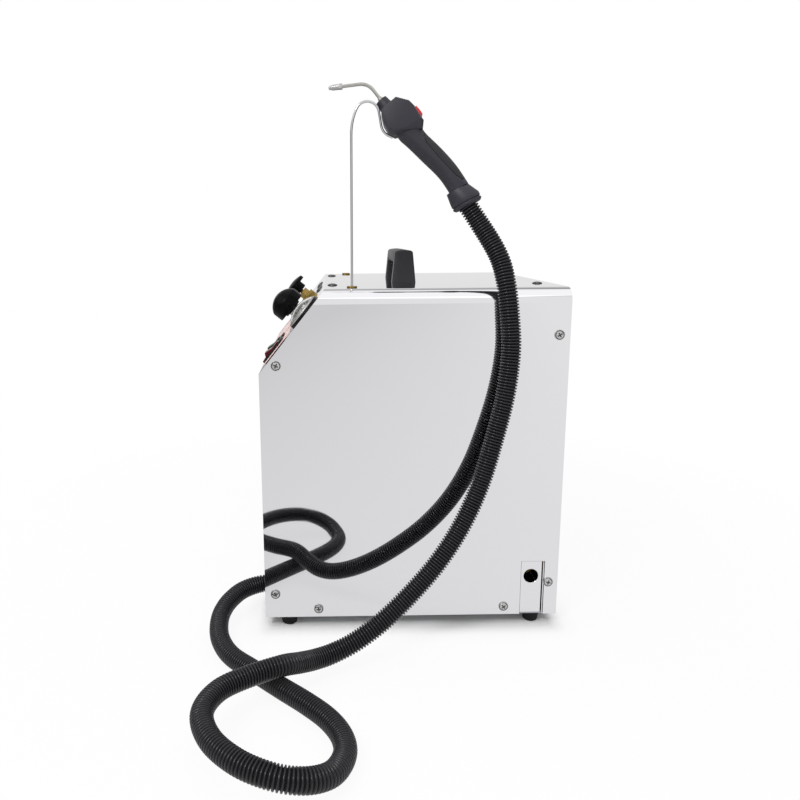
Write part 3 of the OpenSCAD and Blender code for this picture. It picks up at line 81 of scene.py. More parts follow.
focal_px, centre_px, picture_px = 755.307, (337.763, 391.930), 800
lens = bpy.data.cameras.new("photo_lens")
lens.sensor_width = 36
lens.lens = focal_px / picture_px * lens.sensor_width
lens.shift_x = (picture_px / 2 - centre_px[0]) / picture_px
lens.shift_y = (centre_px[1] - picture_px / 2) / picture_px
camera = bpy.data.objects.new("photo_camera", lens)
bpy.context.scene.collection.objects.link(camera)
stand, aim = (0.99329, -0.09139, 0.44875), (0.549, 11.695, -0.513)
camera.matrix_world = Matrix.Translation(stand) @ look(*aim)
bpy.context.scene.camera = camera
print("lens:", round(lens.lens, 2), "mm")

# %% [markdown]
# ## Hose
# The hose is black corrugated conduit, 22 mm over its ribs and shown from end to end. It leaves the
# front low down, crosses under itself on the floor and climbs to the gun. One smooth line runs
# through points chosen along it, and rings are swept along that line. Each rib is a broad crest
# between narrow valleys, so a ring is placed at seven places of every rib. Ribs painted on a plain
# tube would be quicker, but its outline would stay smooth where the real one is toothed.

# %% Points along the hose
hose_d, lay = 0.022, 0.0112
hose_route = [
    (0.138, -0.197, 0.028), (0.158, -0.2125, 0.0245), (0.181, -0.2205, 0.020), (0.206, -0.221, 0.016),
    (0.233, -0.215, 0.013), (0.261, -0.200, lay), (0.289, -0.174, lay), (0.321, -0.143, lay),
    (0.346, -0.118, lay), (0.3695, -0.098, lay), (0.392, -0.086, lay), (0.414, -0.082, lay + 0.0005),
    (0.4355, -0.0865, 0.0135), (0.4545, -0.097, 0.018), (0.467, -0.116, 0.024), (0.468, -0.141, 0.029),
    (0.454, -0.171, 0.032), (0.426, -0.197, 0.033), (0.3915, -0.209, 0.034), (0.3595, -0.1985, 0.035),
    (0.336, -0.171, 0.035), (0.319, -0.142, 0.0345), (0.3025, -0.125, 0.0275), (0.2885, -0.110, 0.0225),
    (0.278, -0.0915, 0.023), (0.269, -0.0675, 0.031), (0.2585, -0.039, 0.0475), (0.2465, -0.0085, 0.072),
    (0.234, 0.0225, 0.103), (0.222, 0.0495, 0.1405), (0.212, 0.0705, 0.184), (0.2045, 0.0855, 0.232),
    (0.200, 0.097, 0.280), (0.196, 0.102, 0.325), (0.193, 0.100, 0.364), (0.187, 0.096, 0.398),
    (0.178, 0.088, 0.428),
]
print("hose points:", len(hose_route))

# %% Where the hose leaves the front and meets the gun
gun_x, gun_y, gun_z = 0.150, -0.0128, 0.570
gun_dip, gun_lean = math.radians(51.3), math.radians(7)

def gun_point(u, v):
    """A point given along the gun and towards its button, in metres."""
    along, side = u * math.cos(gun_lean), u * math.sin(gun_lean)
    return Vector((gun_x + side,
                   gun_y + along * math.cos(gun_dip) + v * math.sin(gun_dip),
                   gun_z - along * math.sin(gun_dip) + v * math.cos(gun_dip)))

collar_u, collar_v, collar_l, collar_gap = 0.096, 0.0022, 0.021, 0.0002
collar_tilt, hose_tilt = math.radians(12), math.radians(5)
away = collar_l + collar_gap + hose_d / 2 * math.sin(collar_tilt - hose_tilt)
hose_end = gun_point(collar_u + away * math.cos(collar_tilt), collar_v - away * math.sin(collar_tilt))
hose_start = Vector((0.128, -0.148, 0.030))
leave = Vector((0, -1, 0))
arrive = gun_point(0, 0) - gun_point(math.cos(hose_tilt), -math.sin(hose_tilt))
print("hose ends:", [[round(c, 4) for c in end] for end in (hose_start, hose_end)])

# %% Smooth line through the points
def smooth_line(points, first, last, per_piece):
    """Points on a curve through the given ones, with the directions of both ends given."""
    pts = [Vector(p) for p in points]
    n = len(pts) - 1
    slopes = [(pts[i + 1] - pts[i - 1]) / 2 for i in range(1, n)]
    slopes = [(pts[1] - pts[0]).length * first] + slopes + [(pts[n] - pts[n - 1]).length * last]
    line = []
    for i in range(n):
        for k in range(per_piece):
            t = k / per_piece
            line.append((2 * t**3 - 3 * t**2 + 1) * pts[i] + (t**3 - 2 * t**2 + t) * slopes[i]
                        + (3 * t**2 - 2 * t**3) * pts[i + 1] + (t**3 - t**2) * slopes[i + 1])
    return line + [pts[n]]

stub, in_collar, steps_per_piece = hose_d, 0.003, 12
hose_line = ([hose_start]
             + smooth_line([hose_start + stub * leave] + hose_route + [hose_end - stub / 2 * arrive],
                           leave, arrive, steps_per_piece)
             + [hose_end, hose_end + in_collar * arrive])
steps = np.array([0.0] + [(b - a).length for a, b in zip(hose_line, hose_line[1:])])
marks = np.cumsum(steps)
hose_length = float(marks[-1])
print("hose length:", round(hose_length, 4), "m")

# %% Rings of the ribs
rib_pitch, valley_r, crest_r = 0.00325, 0.0084, 0.01065
rib_form = [(0.00, 0.0), (0.12, 0.08), (0.24, 0.80), (0.38, 1.0), (0.62, 1.0), (0.76, 0.80), (0.88, 0.08)]
ribs = int(round(hose_length / rib_pitch))
places, radii = [], []
for rib in range(ribs):
    for part, height in rib_form:
        places.append((rib + part) * hose_length / ribs)
        radii.append(valley_r + height * (crest_r - valley_r))
places.append(hose_length)
radii.append(valley_r)
places = np.array(places)
print("hose ribs:", ribs, "rings:", len(places))

# %% Helper: a tube swept along the line
line_xyz = np.array(hose_line)
look_along = 0.004

def at(s):
    """Points on the hose's middle line at the given lengths along it."""
    return np.stack([np.interp(s, marks, line_xyz[:, k]) for k in range(3)], axis=-1)

def turns(s):
    """Directions along the hose at the given lengths."""
    d = at(np.minimum(s + look_along, hose_length)) - at(np.maximum(s - look_along, 0))
    return d / np.linalg.norm(d, axis=1)[:, None]

def swept_tube(name, s, r, bore_r, n):
    """A tube with its bore: rings of n points along the hose's line, closed at both ends."""
    mid, way = at(s), turns(s)
    side = np.array([1.0, 0, 0])
    angle = np.linspace(0, 2 * math.pi, n, endpoint=False)
    rings = []
    for m, w, radius in zip(mid, way, r):
        side = side - w * side.dot(w)
        side /= np.linalg.norm(side)
        up = np.cross(w, side)
        rings.append(m + radius * (np.cos(angle)[:, None] * side + np.sin(angle)[:, None] * up))
    skip = len(rib_form)
    inner = [mid[i] + (rings[i] - mid[i]) * bore_r / r[i] for i in range(0, len(s), skip)]
    points = np.concatenate(rings + inner)
    faces = []
    for base, count, out in ((0, len(rings), True), (len(rings) * n, len(inner), False)):
        for i in range(count - 1):
            for j in range(n):
                a, b = base + i * n + j, base + i * n + (j + 1) % n
                faces.append((a, b, b + n, a + n) if out else (a, a + n, b + n, b))
    for ring, hole, flip in ((0, len(rings) * n, True),
                             ((len(rings) - 1) * n, (len(rings) + len(inner) - 1) * n, False)):
        for j in range(n):
            k = (j + 1) % n
            quad = (ring + j, ring + k, hole + k, hole + j)
            faces.append(quad[::-1] if flip else quad)
    mesh = bpy.data.meshes.new(name)
    mesh.from_pydata([tuple(p) for p in points], [], faces)
    crest = np.repeat((np.array(r) - valley_r) / (crest_r - valley_r), n)
    heights = np.concatenate([crest, np.zeros(len(inner) * n)])
    height = mesh.attributes.new("crest", "FLOAT", "POINT")
    height.data.foreach_set("value", heights.astype(np.float32))
    obj = bpy.data.objects.new(name, mesh)
    bpy.context.scene.collection.objects.link(obj)
    return obj

print("line points:", len(line_xyz))

# %% Hose
sides, bore = 22, 0.0068
hose = swept_tube("ribbed_hose", places, radii, bore, sides)
for face in hose.data.polygons:
    face.use_smooth = True
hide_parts("hose")
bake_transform(hose)
print("hose faces:", len(hose.data.polygons))

# %% [markdown]
# ## Colours and nodes
# Every finish below is a small tree of shader nodes. Colours are written as sRGB hex values, as a
# paint chart gives them, and one function turns them to the linear values that a shader needs. One
# more function adds a node, sets it and joins it to the nodes before it. Pattern sizes are written
# in millimetres of the real surface.

# %% Helpers for finishes
def rgb(code):
    """Linear colour of an sRGB hex value."""
    parts = [int(code[i:i + 2], 16) / 255 for i in (1, 3, 5)]
    return tuple(c / 12.92 if c <= 0.04045 else ((c + 0.055) / 1.055) ** 2.4 for c in parts) + (1.0,)

def add(tree, kind, settings=None, links=None):
    """One node in the tree: its settings by name, and the outputs that feed its inputs."""
    node = tree.nodes.new("ShaderNode" + kind)
    for key, value in (settings or {}).items():
        if isinstance(key, int) or key in node.inputs:
            node.inputs[key].default_value = value
        else:
            setattr(node, key, value)
    for key, (source, output) in (links or {}).items():
        tree.links.new(source.outputs[output], node.inputs[key])
    return node

def per_mm(size):
    """Texture scale of a pattern whose features are that many millimetres apart."""
    return 1000 / size

def new_finish(name, **sockets):
    """A material with its shader's own sockets set; returns it with its tree and shader."""
    material = bpy.data.materials.new(name)
    material.use_nodes = True
    shader = material.node_tree.nodes["Principled BSDF"]
    for key, value in sockets.items():
        shader.inputs[key.replace("_", " ")].default_value = value
    return material, material.node_tree, shader

def join(tree, source, output, target, socket):
    """Links an output to a socket."""
    tree.links.new(source.outputs[output], target.inputs[socket])

def vary(tree, shader, size, low, high):
    """Roughness that wanders between two values over patches of that size."""
    place = add(tree, "TexCoord")
    noise = add(tree, "TexNoise", {"Scale": per_mm(size), "Detail": 3.0}, {"Vector": (place, "Object")})
    span = add(tree, "MapRange", {"From Min": 0.3, "From Max": 0.7, "To Min": low, "To Max": high},
               {"Value": (noise, "Fac")})
    join(tree, span, "Result", shader, "Roughness")
    return place, noise

def grain(tree, shader, place, size, depth, strength=1.0):
    """Fine bumps of that size and depth, in millimetres."""
    noise = add(tree, "TexNoise", {"Scale": per_mm(size), "Detail": 2.0}, {"Vector": (place, "Object")})
    bump = add(tree, "Bump", {"Strength": strength, "Distance": depth / 1000}, {"Height": (noise, "Fac")})
    join(tree, bump, "Normal", shader, "Normal")

print("mid grey in linear light:", round(rgb("#808080")[0], 4))

# %% [markdown]
# ## Metal finishes
# Mirror-polished stainless shows the room with only a faint softness: polishing leaves long, very
# shallow waves and a thin haze. Zinc-plated screws are duller, and the ones on the top and the slope
# get a darker copy of the zinc, as painted shade. Turned brass is a little tarnished, and the hook and
# nozzle are bright drawn wire and chrome. A picture of a reflection could be painted on a metal, but it
# would not move with the view. So each metal really mirrors the scene, and only its tone, gloss and
# waves are drawn. Marks of the lathe and the mill are drawn as a coarser grain.

# %% Sheet, plate and painted shade
# Mirror polish: a clear image of the room, a little hazy, with slow waves.
stainless, tree, shader = new_finish("stainless_sheet_mirror_polished", Metallic=1.0,
                                     Base_Color=rgb("#E0DFE2"))
place, _ = vary(tree, shader, 70, 0.018, 0.04)
grain(tree, shader, place, 60, 0.008, 0.3)

def plated(name, low, high):
    """Zinc plate: small patches of two tones, a little duller here and there."""
    material, tree, shader = new_finish(name, Metallic=1.0)
    _, noise = vary(tree, shader, 1.5, 0.12, 0.26)
    tone = add(tree, "ValToRGB", None, {"Fac": (noise, "Fac")})
    tone.color_ramp.elements[0].color, tone.color_ramp.elements[1].color = rgb(low), rgb(high)
    join(tree, tone, "Color", shader, "Base Color")
    return material

# Zinc: a soft grey shine with faint patches. The second copy is painted darker, as shade, for the screws on
# the top and the slope.
zinc = plated("steel_zinc_plated", "#A6A7A7", "#CFCFCE")
shaded_zinc = plated("steel_zinc_plated_painted_shade", "#4E4E4F", "#7A7A7A")

# Painted shade: a dull dark grey that draws a shadow line in each recess and in the gap round the drain
# plate.
recess_shade, tree, shader = new_finish("painted_shade_in_recesses", Base_Color=rgb("#545352"))
place, _ = vary(tree, shader, 0.8, 0.55, 0.8)
grain(tree, shader, place, 0.3, 0.02)

# Cold-rolled steel: a blurred grey sheen. Its grain is drawn coarser than it is, so that it shows.
plain_steel, tree, shader = new_finish("steel_sheet_cold_rolled", Metallic=1.0, Base_Color=rgb("#A9ACB0"))
place, _ = vary(tree, shader, 12, 0.3, 0.5)
grain(tree, shader, place, 0.8, 0.01)
print("sheet finishes:", [finish.name for finish in (stainless, zinc, shaded_zinc, recess_shade, plain_steel)])

# %% Drawn, spun and turned metals
def drawn(name, low, high, smooth, rough):
    """Bright drawn metal: its tone and gloss change in fine lines along the piece."""
    material, tree, shader = new_finish(name, Metallic=1.0)
    place = add(tree, "TexCoord")
    lines = add(tree, "Mapping", {"Scale": (1, 1, 0.02)}, {"Vector": (place, "Object")})
    noise = add(tree, "TexNoise", {"Scale": per_mm(0.9), "Detail": 3.0}, {"Vector": (lines, "Vector")})
    tone = add(tree, "ValToRGB", None, {"Fac": (noise, "Fac")})
    tone.color_ramp.elements[0].color, tone.color_ramp.elements[1].color = rgb(low), rgb(high)
    join(tree, tone, "Color", shader, "Base Color")
    gloss = add(tree, "MapRange", {"To Min": smooth, "To Max": rough}, {"Value": (noise, "Fac")})
    join(tree, gloss, "Result", shader, "Roughness")
    return material

# Drawn wire and chrome: bright and streaky, with sharp dark edges. Real die lines are finer than these.
wire_steel = drawn("stainless_wire_bright_drawn", "#B2B3B5", "#D2D3D5", 0.08, 0.18)
chrome = drawn("brass_chrome_plated", "#92908B", "#BCBAB5", 0.04, 0.1)

# Satin spun steel: a broad soft highlight with no clear image.
satin_steel, tree, shader = new_finish("stainless_satin_spun", Metallic=1.0, Base_Color=rgb("#B4B2B1"))
place, _ = vary(tree, shader, 18, 0.36, 0.48)
grain(tree, shader, place, 0.8, 0.004, 0.6)

# Turned brass: warm, slightly tarnished patches under a faint grain.
brass, tree, shader = new_finish("brass_turned", Metallic=1.0)
place, noise = vary(tree, shader, 3, 0.2, 0.36)
tone = add(tree, "ValToRGB", None, {"Fac": (noise, "Fac")})
tone.color_ramp.elements[0].color, tone.color_ramp.elements[1].color = rgb("#7C6636"), rgb("#A3894F")
join(tree, tone, "Color", shader, "Base Color")
grain(tree, shader, place, 1.2, 0.004, 0.5)
print("drawn and turned finishes:", [finish.name for finish in (wire_steel, chrome, satin_steel, brass)])

# %% [markdown]
# ## Plastic and rubber finishes
# The gun is glass-filled nylon moulded in a spark-eroded tool, so it has a fine even grain and a
# soft sheen. Knobs are gloss phenolic, the handle is satin, feet and grommet are matte rubber, and
# the hose is extruded black conduit whose crests are rubbed shiny while its valleys stay dull. The
# hose's colour is painted light and shade: lighter on the crests, nearly black in the valleys.
# Wear could be painted by hand. Here it follows the shape: the shader knows how convex a surface is,
# and lifts the colour and the gloss along such edges, as rubbed wear and a painted highlight. Moulded
# grains are drawn coarser than the real ones, which are too fine to show at this distance.

# %% Gun, knobs and handle
def wear_and_edge_highlight(tree, shader, base, rubbed, gloss, dull):
    """Colour and gloss that lift along the most convex edges: rubbed wear, and a painted highlight in the
    colour.
    """
    shape = add(tree, "NewGeometry")
    edge = add(tree, "MapRange", {"From Min": 0.51, "From Max": 0.6}, {"Value": (shape, "Pointiness")})
    tone = add(tree, "Mix", {"data_type": "RGBA", 6: rgb(base), 7: rgb(rubbed)}, {0: (edge, "Result")})
    tree.links.new(tone.outputs[2], shader.inputs["Base Color"])
    shine = add(tree, "MapRange", {"To Min": dull, "To Max": gloss}, {"Value": (edge, "Result")})
    join(tree, shine, "Result", shader, "Roughness")
    return add(tree, "TexCoord")

# Glass-filled nylon: blue-black with an even grainy sheen, paler along its edges: rubbed wear and a painted
# highlight.
gun_nylon, tree, shader = new_finish("nylon_glass_filled_spark_grain")
place = wear_and_edge_highlight(tree, shader, "#1B1A25", "#363542", 0.36, 0.5)
grain(tree, shader, place, 0.5, 0.035, 0.7)

# Soft elastomer: darker and duller than the nylon round it.
soft_inlay, tree, shader = new_finish("elastomer_soft_moulded", Base_Color=rgb("#13131A"))
place, _ = vary(tree, shader, 4, 0.46, 0.6)
grain(tree, shader, place, 0.8, 0.04, 0.8)

# Phenolic: deep black with a small clear highlight; its edges are painted a touch lighter, as wear and a
# painted highlight.
phenolic, tree, shader = new_finish("phenolic_gloss_moulded", Specular_IOR_Level=0.07)
wear_and_edge_highlight(tree, shader, "#050506", "#111113", 0.16, 0.26)

# Polypropylene: satin black, greyer along its edges: wear where hands have rubbed it, and a painted
# highlight.
handle_black, tree, shader = new_finish("polypropylene_satin_moulded", Specular_IOR_Level=0.32)
place = wear_and_edge_highlight(tree, shader, "#131317", "#37373B", 0.34, 0.46)
grain(tree, shader, place, 0.7, 0.03, 0.6)
print("gripped finishes:", [finish.name for finish in (gun_nylon, soft_inlay, phenolic, handle_black)])

# %% Switch frames, feet and hose
# ABS: plain satin black with a low shine.
switch_black, tree, shader = new_finish("abs_satin_moulded", Base_Color=rgb("#0A0A0C"),
                                        Specular_IOR_Level=0.25)
place, _ = vary(tree, shader, 5, 0.3, 0.42)
grain(tree, shader, place, 0.5, 0.015, 0.5)

# Rubber: matte black with hardly any highlight.
rubber, tree, shader = new_finish("rubber_moulded_matte", Base_Color=rgb("#0C0C0D"),
                                  Specular_IOR_Level=0.25)
place, _ = vary(tree, shader, 5, 0.6, 0.78)
grain(tree, shader, place, 0.6, 0.04, 0.7)

# Corrugated conduit: crests rubbed shiny, a little dust in patches. Its colour is painted light and shade:
# lighter on the crests, nearly black in the valleys.
hose_black, tree, shader = new_finish("conduit_extruded_corrugated", Specular_IOR_Level=0.42)
crest = add(tree, "Attribute", {"attribute_name": "crest"})
shine = add(tree, "MapRange", {"To Min": 0.8, "To Max": 0.2}, {"Value": (crest, "Fac")})
join(tree, shine, "Result", shader, "Roughness")
# Painted light and shade on the ribs: the colour runs from nearly black in the valleys to a lighter grey on
# the crests.
rib_light_and_shade = add(tree, "Math", {"operation": "POWER", 1: 2.0}, {0: (crest, "Fac")})
body = add(tree, "Mix", {"data_type": "RGBA", 6: rgb("#010102"), 7: rgb("#16161E")}, {0: (rib_light_and_shade, "Value")})
place = add(tree, "TexCoord")
dust = add(tree, "TexNoise", {"Scale": per_mm(14), "Detail": 4.0}, {"Vector": (place, "Object")})
amount = add(tree, "MapRange", {"From Min": 0.45, "From Max": 0.8, "To Min": 0.0, "To Max": 0.12},
             {"Value": (dust, "Fac")})
mix = add(tree, "Mix", {"data_type": "RGBA", 7: rgb("#3A3B42")}, {0: (amount, "Result"), 6: (body, 2)})
tree.links.new(mix.outputs[2], shader.inputs["Base Color"])
print("black finishes:", [finish.name for finish in (switch_black, rubber, hose_black)])

# %% Rockers, thumb button and terminal block
def tinted(name, code):
    """Tinted polycarbonate: a dark clear colour with a smooth, slightly uneven gloss."""
    material, tree, shader = new_finish(name, Base_Color=rgb(code), Specular_IOR_Level=0.16)
    place, _ = vary(tree, shader, 6, 0.14, 0.24)
    grain(tree, shader, place, 1.2, 0.01, 0.4)
    return material

red_lens = tinted("polycarbonate_red_tinted", "#580B18")
green_lens = tinted("polycarbonate_green_tinted", "#0A3318")

# Signal red ABS: bright, a shade paler along its edges: wear where the thumb rubs it, and a painted
# highlight.
red_abs, tree, shader = new_finish("abs_signal_red_moulded")
place = wear_and_edge_highlight(tree, shader, "#E01E2B", "#F04A50", 0.26, 0.4)
grain(tree, shader, place, 0.6, 0.02, 0.5)

# Natural polyamide: creamy white and dull.
white_plastic, tree, shader = new_finish("polyamide_natural_white", Base_Color=rgb("#E6E4DC"))
place, _ = vary(tree, shader, 5, 0.4, 0.55)
grain(tree, shader, place, 0.7, 0.02, 0.5)
print("coloured finishes:", [finish.name for finish in (red_lens, green_lens, red_abs, white_plastic)])

# %% Dial, window and panel overlay
# Enamel and print: a clean white with dense black marks, both slightly glossy.
dial_white, tree, shader = new_finish("dial_enamel_white", Base_Color=rgb("#E4E4E0"))
vary(tree, shader, 5, 0.4, 0.5)
dial_black, tree, shader = new_finish("dial_print_black", Base_Color=rgb("#161617"))
vary(tree, shader, 3, 0.45, 0.6)

# Acrylic: clear, with one small bright spot on its dome.
acrylic, tree, shader = new_finish("acrylic_domed_window", Base_Color=rgb("#EDEDEC"),
                                   Transmission_Weight=1.0, IOR=1.49)
vary(tree, shader, 15, 0.02, 0.05)

# Printed polyester: a pale pink wash with a bare white strip at its near end.
overlay_pink, tree, shader = new_finish("polyester_overlay_printed")
place, _ = vary(tree, shader, 8, 0.3, 0.4)
wash = add(tree, "TexNoise", {"Scale": per_mm(60), "Detail": 2.0}, {"Vector": (place, "Object")})
tint = add(tree, "ValToRGB", None, {"Fac": (wash, "Fac")})
tint.color_ramp.elements[0].color, tint.color_ramp.elements[1].color = rgb("#F0C6C2"), rgb("#F8DCD9")
strip_from, strip_to = 0.1475, 0.1485
parts = add(tree, "SeparateXYZ", None, {"Vector": (place, "Object")})
bare = add(tree, "MapRange", {"From Min": strip_from, "From Max": strip_to}, {"Value": (parts, "X")})
print_tone = add(tree, "Mix", {"data_type": "RGBA", 7: rgb("#F2F1EF")},
                 {0: (bare, "Result"), 6: (tint, "Color")})
tree.links.new(print_tone.outputs[2], shader.inputs["Base Color"])
print("panel finishes:", [finish.name for finish in (dial_white, dial_black, acrylic, overlay_pink)])

# %% [markdown]
# ## Finishes on the solids
# Each solid arrives with no finish. The ones that already have the right shape keep it and are only
# coated. The rest are coated too, because the copies made of them below carry the finish along.

# %% Give each solid its finish
finish_of = {
    stainless: ["cover", "front_panel", "back_panel", "drain_plate"],
    plain_steel: ["base_tray", "boiler_saddles", "boiler", "heater"],
    zinc: ["side_screws", "top_screws", "slope_screws", "handle_screws", "gun_screws", "inlet_screws"],
    rubber: ["foot_fn", "foot_ff", "foot_rn", "foot_rf", "hose_grommet"],
    handle_black: ["carry_handle"],
    overlay_pink: ["overlay"],
    switch_black: ["gauge_case", "gauge_bezel", "red_housing", "green_housing", "power_inlet",
                   "gun_switch"],
    chrome: ["nozzle_tube", "filler_neck"],
    satin_steel: ["nozzle_tip"],
    acrylic: ["gauge_window"],
    dial_white: ["gauge_dial"],
    dial_black: ["gauge_needle"],
    phenolic: ["filler_cap", "steam_knob"],
    brass: ["steam_valve", "bush_near", "bush_far", "hose_fitting", "solenoid_valve",
            "safety_valve", "pressure_switch", "filler_pipe", "steam_pipe", "outlet_pipe", "drain_valve",
            "drain_pipe"],
    red_lens: ["red_rocker"],
    green_lens: ["green_rocker"],
    red_abs: ["thumb_button"],
    wire_steel: ["wire_hook"],
    gun_nylon: ["gun_shell_near", "gun_shell_far", "gun_collar", "nozzle_socket"],
    soft_inlay: ["gun_inlay"],
    white_plastic: ["terminal_block"],
}

def coat(obj, material):
    """Puts one finish on a piece."""
    obj.data.materials.clear()
    obj.data.materials.append(material)

for material, names in finish_of.items():
    for name in names:
        coat(nodes[name], material)
coat(hose, hose_black)
print("finishes:", len(finish_of))

# %% [markdown]
# ## Rounded edges
# No moulded or turned piece has a knife edge: a small radius catches a line of light along every
# edge. The same holds for cut sheet. For the pieces whose solid is right but sharp, a copy of the solid
# is taken, its loose triangles are merged, flat areas are cleaned to single faces, and a bevel rounds
# the sharp edges. A mirror shows every dent in its normals, so the sheets keep flat normals on their
# flat faces. Modelling all these pieces again would gain nothing, since their forms are right.

# %% Helper: a rounded copy of a solid
body_of = {n: body for body, names in frame["record"]["behaviour"]["bodies"].items() for n in names}
smooth_under = math.radians(35)
print("bodies:", sorted(set(body_of.values())))

def only(obj):
    """Selects one object alone and makes it active."""
    bpy.ops.object.select_all(action="DESELECT")
    obj.hide_set(False)
    obj.select_set(True)
    bpy.context.view_layer.objects.active = obj

def apply_all(obj):
    """Applies every modifier on a piece."""
    only(obj)
    for modifier in list(obj.modifiers):
        bpy.ops.object.modifier_apply(modifier=modifier.name)

def rounded(node, width, segments=3, angle=28, flat=2.0, level=False, added=()):
    """A copy of a solid, with any pieces added, and its sharp edges rounded by that many millimetres.

    With level, the flat faces keep their flat normals beside the rounded edges."""
    source = nodes[node]
    piece = source.copy()
    piece.data = source.data.copy()
    piece.name = node + "_rounded"
    piece.parent = None
    bpy.context.scene.collection.objects.link(piece)
    only(piece)
    bpy.ops.object.mode_set(mode="EDIT")
    bpy.ops.mesh.select_all(action="SELECT")
    bpy.ops.mesh.remove_doubles(threshold=1e-6)
    bpy.ops.mesh.dissolve_limited(angle_limit=math.radians(flat))
    bpy.ops.object.mode_set(mode="OBJECT")
    for block in added:
        merge = piece.modifiers.new("merge", "BOOLEAN")
        merge.operation, merge.object, merge.solver = "UNION", block, "EXACT"
        apply_all(piece)
        bpy.data.objects.remove(block)
    if piece.data.has_custom_normals:
        bpy.ops.mesh.customdata_custom_splitnormals_clear()
    bevel = piece.modifiers.new("edge_radius", "BEVEL")
    bevel.width = width / 1000
    bevel.segments = segments
    bevel.limit_method = "ANGLE"
    bevel.angle_limit = math.radians(angle)
    bevel.use_clamp_overlap = True
    apply_all(piece)
    bpy.ops.object.shade_smooth_by_angle(angle=math.radians(32))
    if level:
        piece.modifiers.new("flat_faces", "WEIGHTED_NORMAL").keep_sharp = True
        apply_all(piece)
    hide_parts(node)
    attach(piece, body_of[node])
    return piece

# %% Round the moulded and turned pieces
edge_mm = {
    "filler_cap": 1.2, "steam_knob": 1.0, "red_housing": 0.5, "green_housing": 0.5,
    "red_rocker": 0.7, "green_rocker": 0.7, "filler_neck": 0.4, "steam_valve": 0.4,
    "bush_near": 0.4, "bush_far": 0.4, "gauge_case": 0.4, "gun_collar": 0.7, "nozzle_socket": 0.6,
    "nozzle_tip": 0.25, "thumb_button": 1.1, "power_inlet": 0.5,
}
for node, width in edge_mm.items():
    piece = rounded(node, width)
    print(node, "faces:", len(piece.data.polygons))
gun_edge_mm = {"gun_shell_near": 0.9, "gun_shell_far": 0.9, "gun_inlay": 0.4}
for node, width in gun_edge_mm.items():
    piece = rounded(node, width, angle=24, flat=0.5)
    print(node, "faces:", len(piece.data.polygons))

# %% Round the sheets
sheet_edge_mm = {"cover": 0.7, "front_panel": 0.45, "drain_plate": 0.45}
for node, width in sheet_edge_mm.items():
    piece = rounded(node, width, segments=4, angle=40, flat=0.1, level=True)
    print(node, "faces:", len(piece.data.polygons))

# %% [markdown]
# ## Top corners of the back
# The back sheet closes the end of the cover, so its top corners are as round as the cover's bends.
# The sheet could be drawn again, but its vents and holes are already right. So a small plate is made
# for each corner from a cube with one edge bevelled, and both are joined to a copy of the sheet.

# %% Corner plates
def new_cube(name, low, high):
    """A cube primitive between two corners, with its size applied."""
    bpy.ops.object.select_all(action="DESELECT")
    low, high = Vector(low), Vector(high)
    bpy.ops.mesh.primitive_cube_add(size=1, location=(low + high) / 2)
    cube = bpy.context.object
    cube.name = name
    cube.scale = high - low
    bpy.ops.object.transform_apply(location=True, rotation=True, scale=True)
    return cube

low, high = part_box("back_panel")
corner, sheet_t, corner_r, overlap, close = 0.016, 0.0015, 0.0143, 0.001, 1e-5
corners = []
for side in (-1, 1):
    x0, x1 = sorted((side * (high[0] - corner - overlap), side * high[0]))
    plate = new_cube("corner_plate", (x0, high[1] - sheet_t, high[2] - corner - overlap),
                     (x1, high[1], high[2]))
    for vert in plate.data.vertices:
        vert.select = abs(vert.co.x - side * high[0]) < close and abs(vert.co.z - high[2]) < close
    for edge in plate.data.edges:
        edge.select = all(plate.data.vertices[i].select for i in edge.vertices)
    for face in plate.data.polygons:
        face.select = False
    bpy.ops.object.mode_set(mode="EDIT")
    bpy.ops.mesh.select_mode(type="EDGE")
    bpy.ops.mesh.bevel(offset=corner_r, segments=10)
    bpy.ops.object.mode_set(mode="OBJECT")
    corners.append(plate)
print("corner plates:", len(corners))

# %% Back sheet
back_edge_mm = 0.45
piece = rounded("back_panel", back_edge_mm, angle=40, flat=0.1, level=True, added=corners)
print("back faces:", len(piece.data.polygons))

# %% [markdown]
# ## Carry handle
# The handle is one thick moulded bridge. It starts as a cube at the handle's size. The top is drawn
# in to give the taper, cuts along it let the crown rise in the middle, and a rounded block is taken
# out for the fingers. A bevel then gives every edge the radius of a mould. The feet are drawn longer
# before that and cut level after it, so that they meet the sheet with a clean edge. A swept profile
# would give the same bridge, but without the crown.

# %% Handle block, taper and crown
def pick_faces(obj, test):
    """In edit mode, selects the faces whose middle and normal pass the test."""
    bpy.ops.object.mode_set(mode="OBJECT")
    for face in obj.data.polygons:
        face.select = bool(test(face.center, face.normal))
    for edge in obj.data.edges:
        edge.select = False
    for vert in obj.data.vertices:
        vert.select = False
    for face in obj.data.polygons:
        if face.select:
            for i in face.vertices:
                obj.data.vertices[i].select = True
    bpy.ops.object.mode_set(mode="EDIT")

low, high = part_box("carry_handle")
handle = new_cube("carry_handle_bridge", low, high)
top_share, crown_r = 21.5 / 29, 0.038
crown_cuts = (-0.0075, -0.005, -0.0025, 0, 0.0025, 0.005, 0.0075)
bpy.ops.object.mode_set(mode="EDIT")
bpy.ops.mesh.select_mode(type="FACE")
pick_faces(handle, lambda c, n: n.z > 0.9)
bpy.ops.transform.resize(value=(1, top_share, 1))
for y in crown_cuts:
    bpy.ops.mesh.select_all(action="SELECT")
    bpy.ops.mesh.bisect(plane_co=(0, y, 0), plane_no=(0, 1, 0))
bpy.ops.object.mode_set(mode="OBJECT")
for vert in handle.data.vertices:
    if vert.co.z > high[2] - 1e-4:
        vert.co.z = high[2] - vert.co.y ** 2 / (2 * crown_r)
print("handle block:", len(handle.data.vertices), "points")

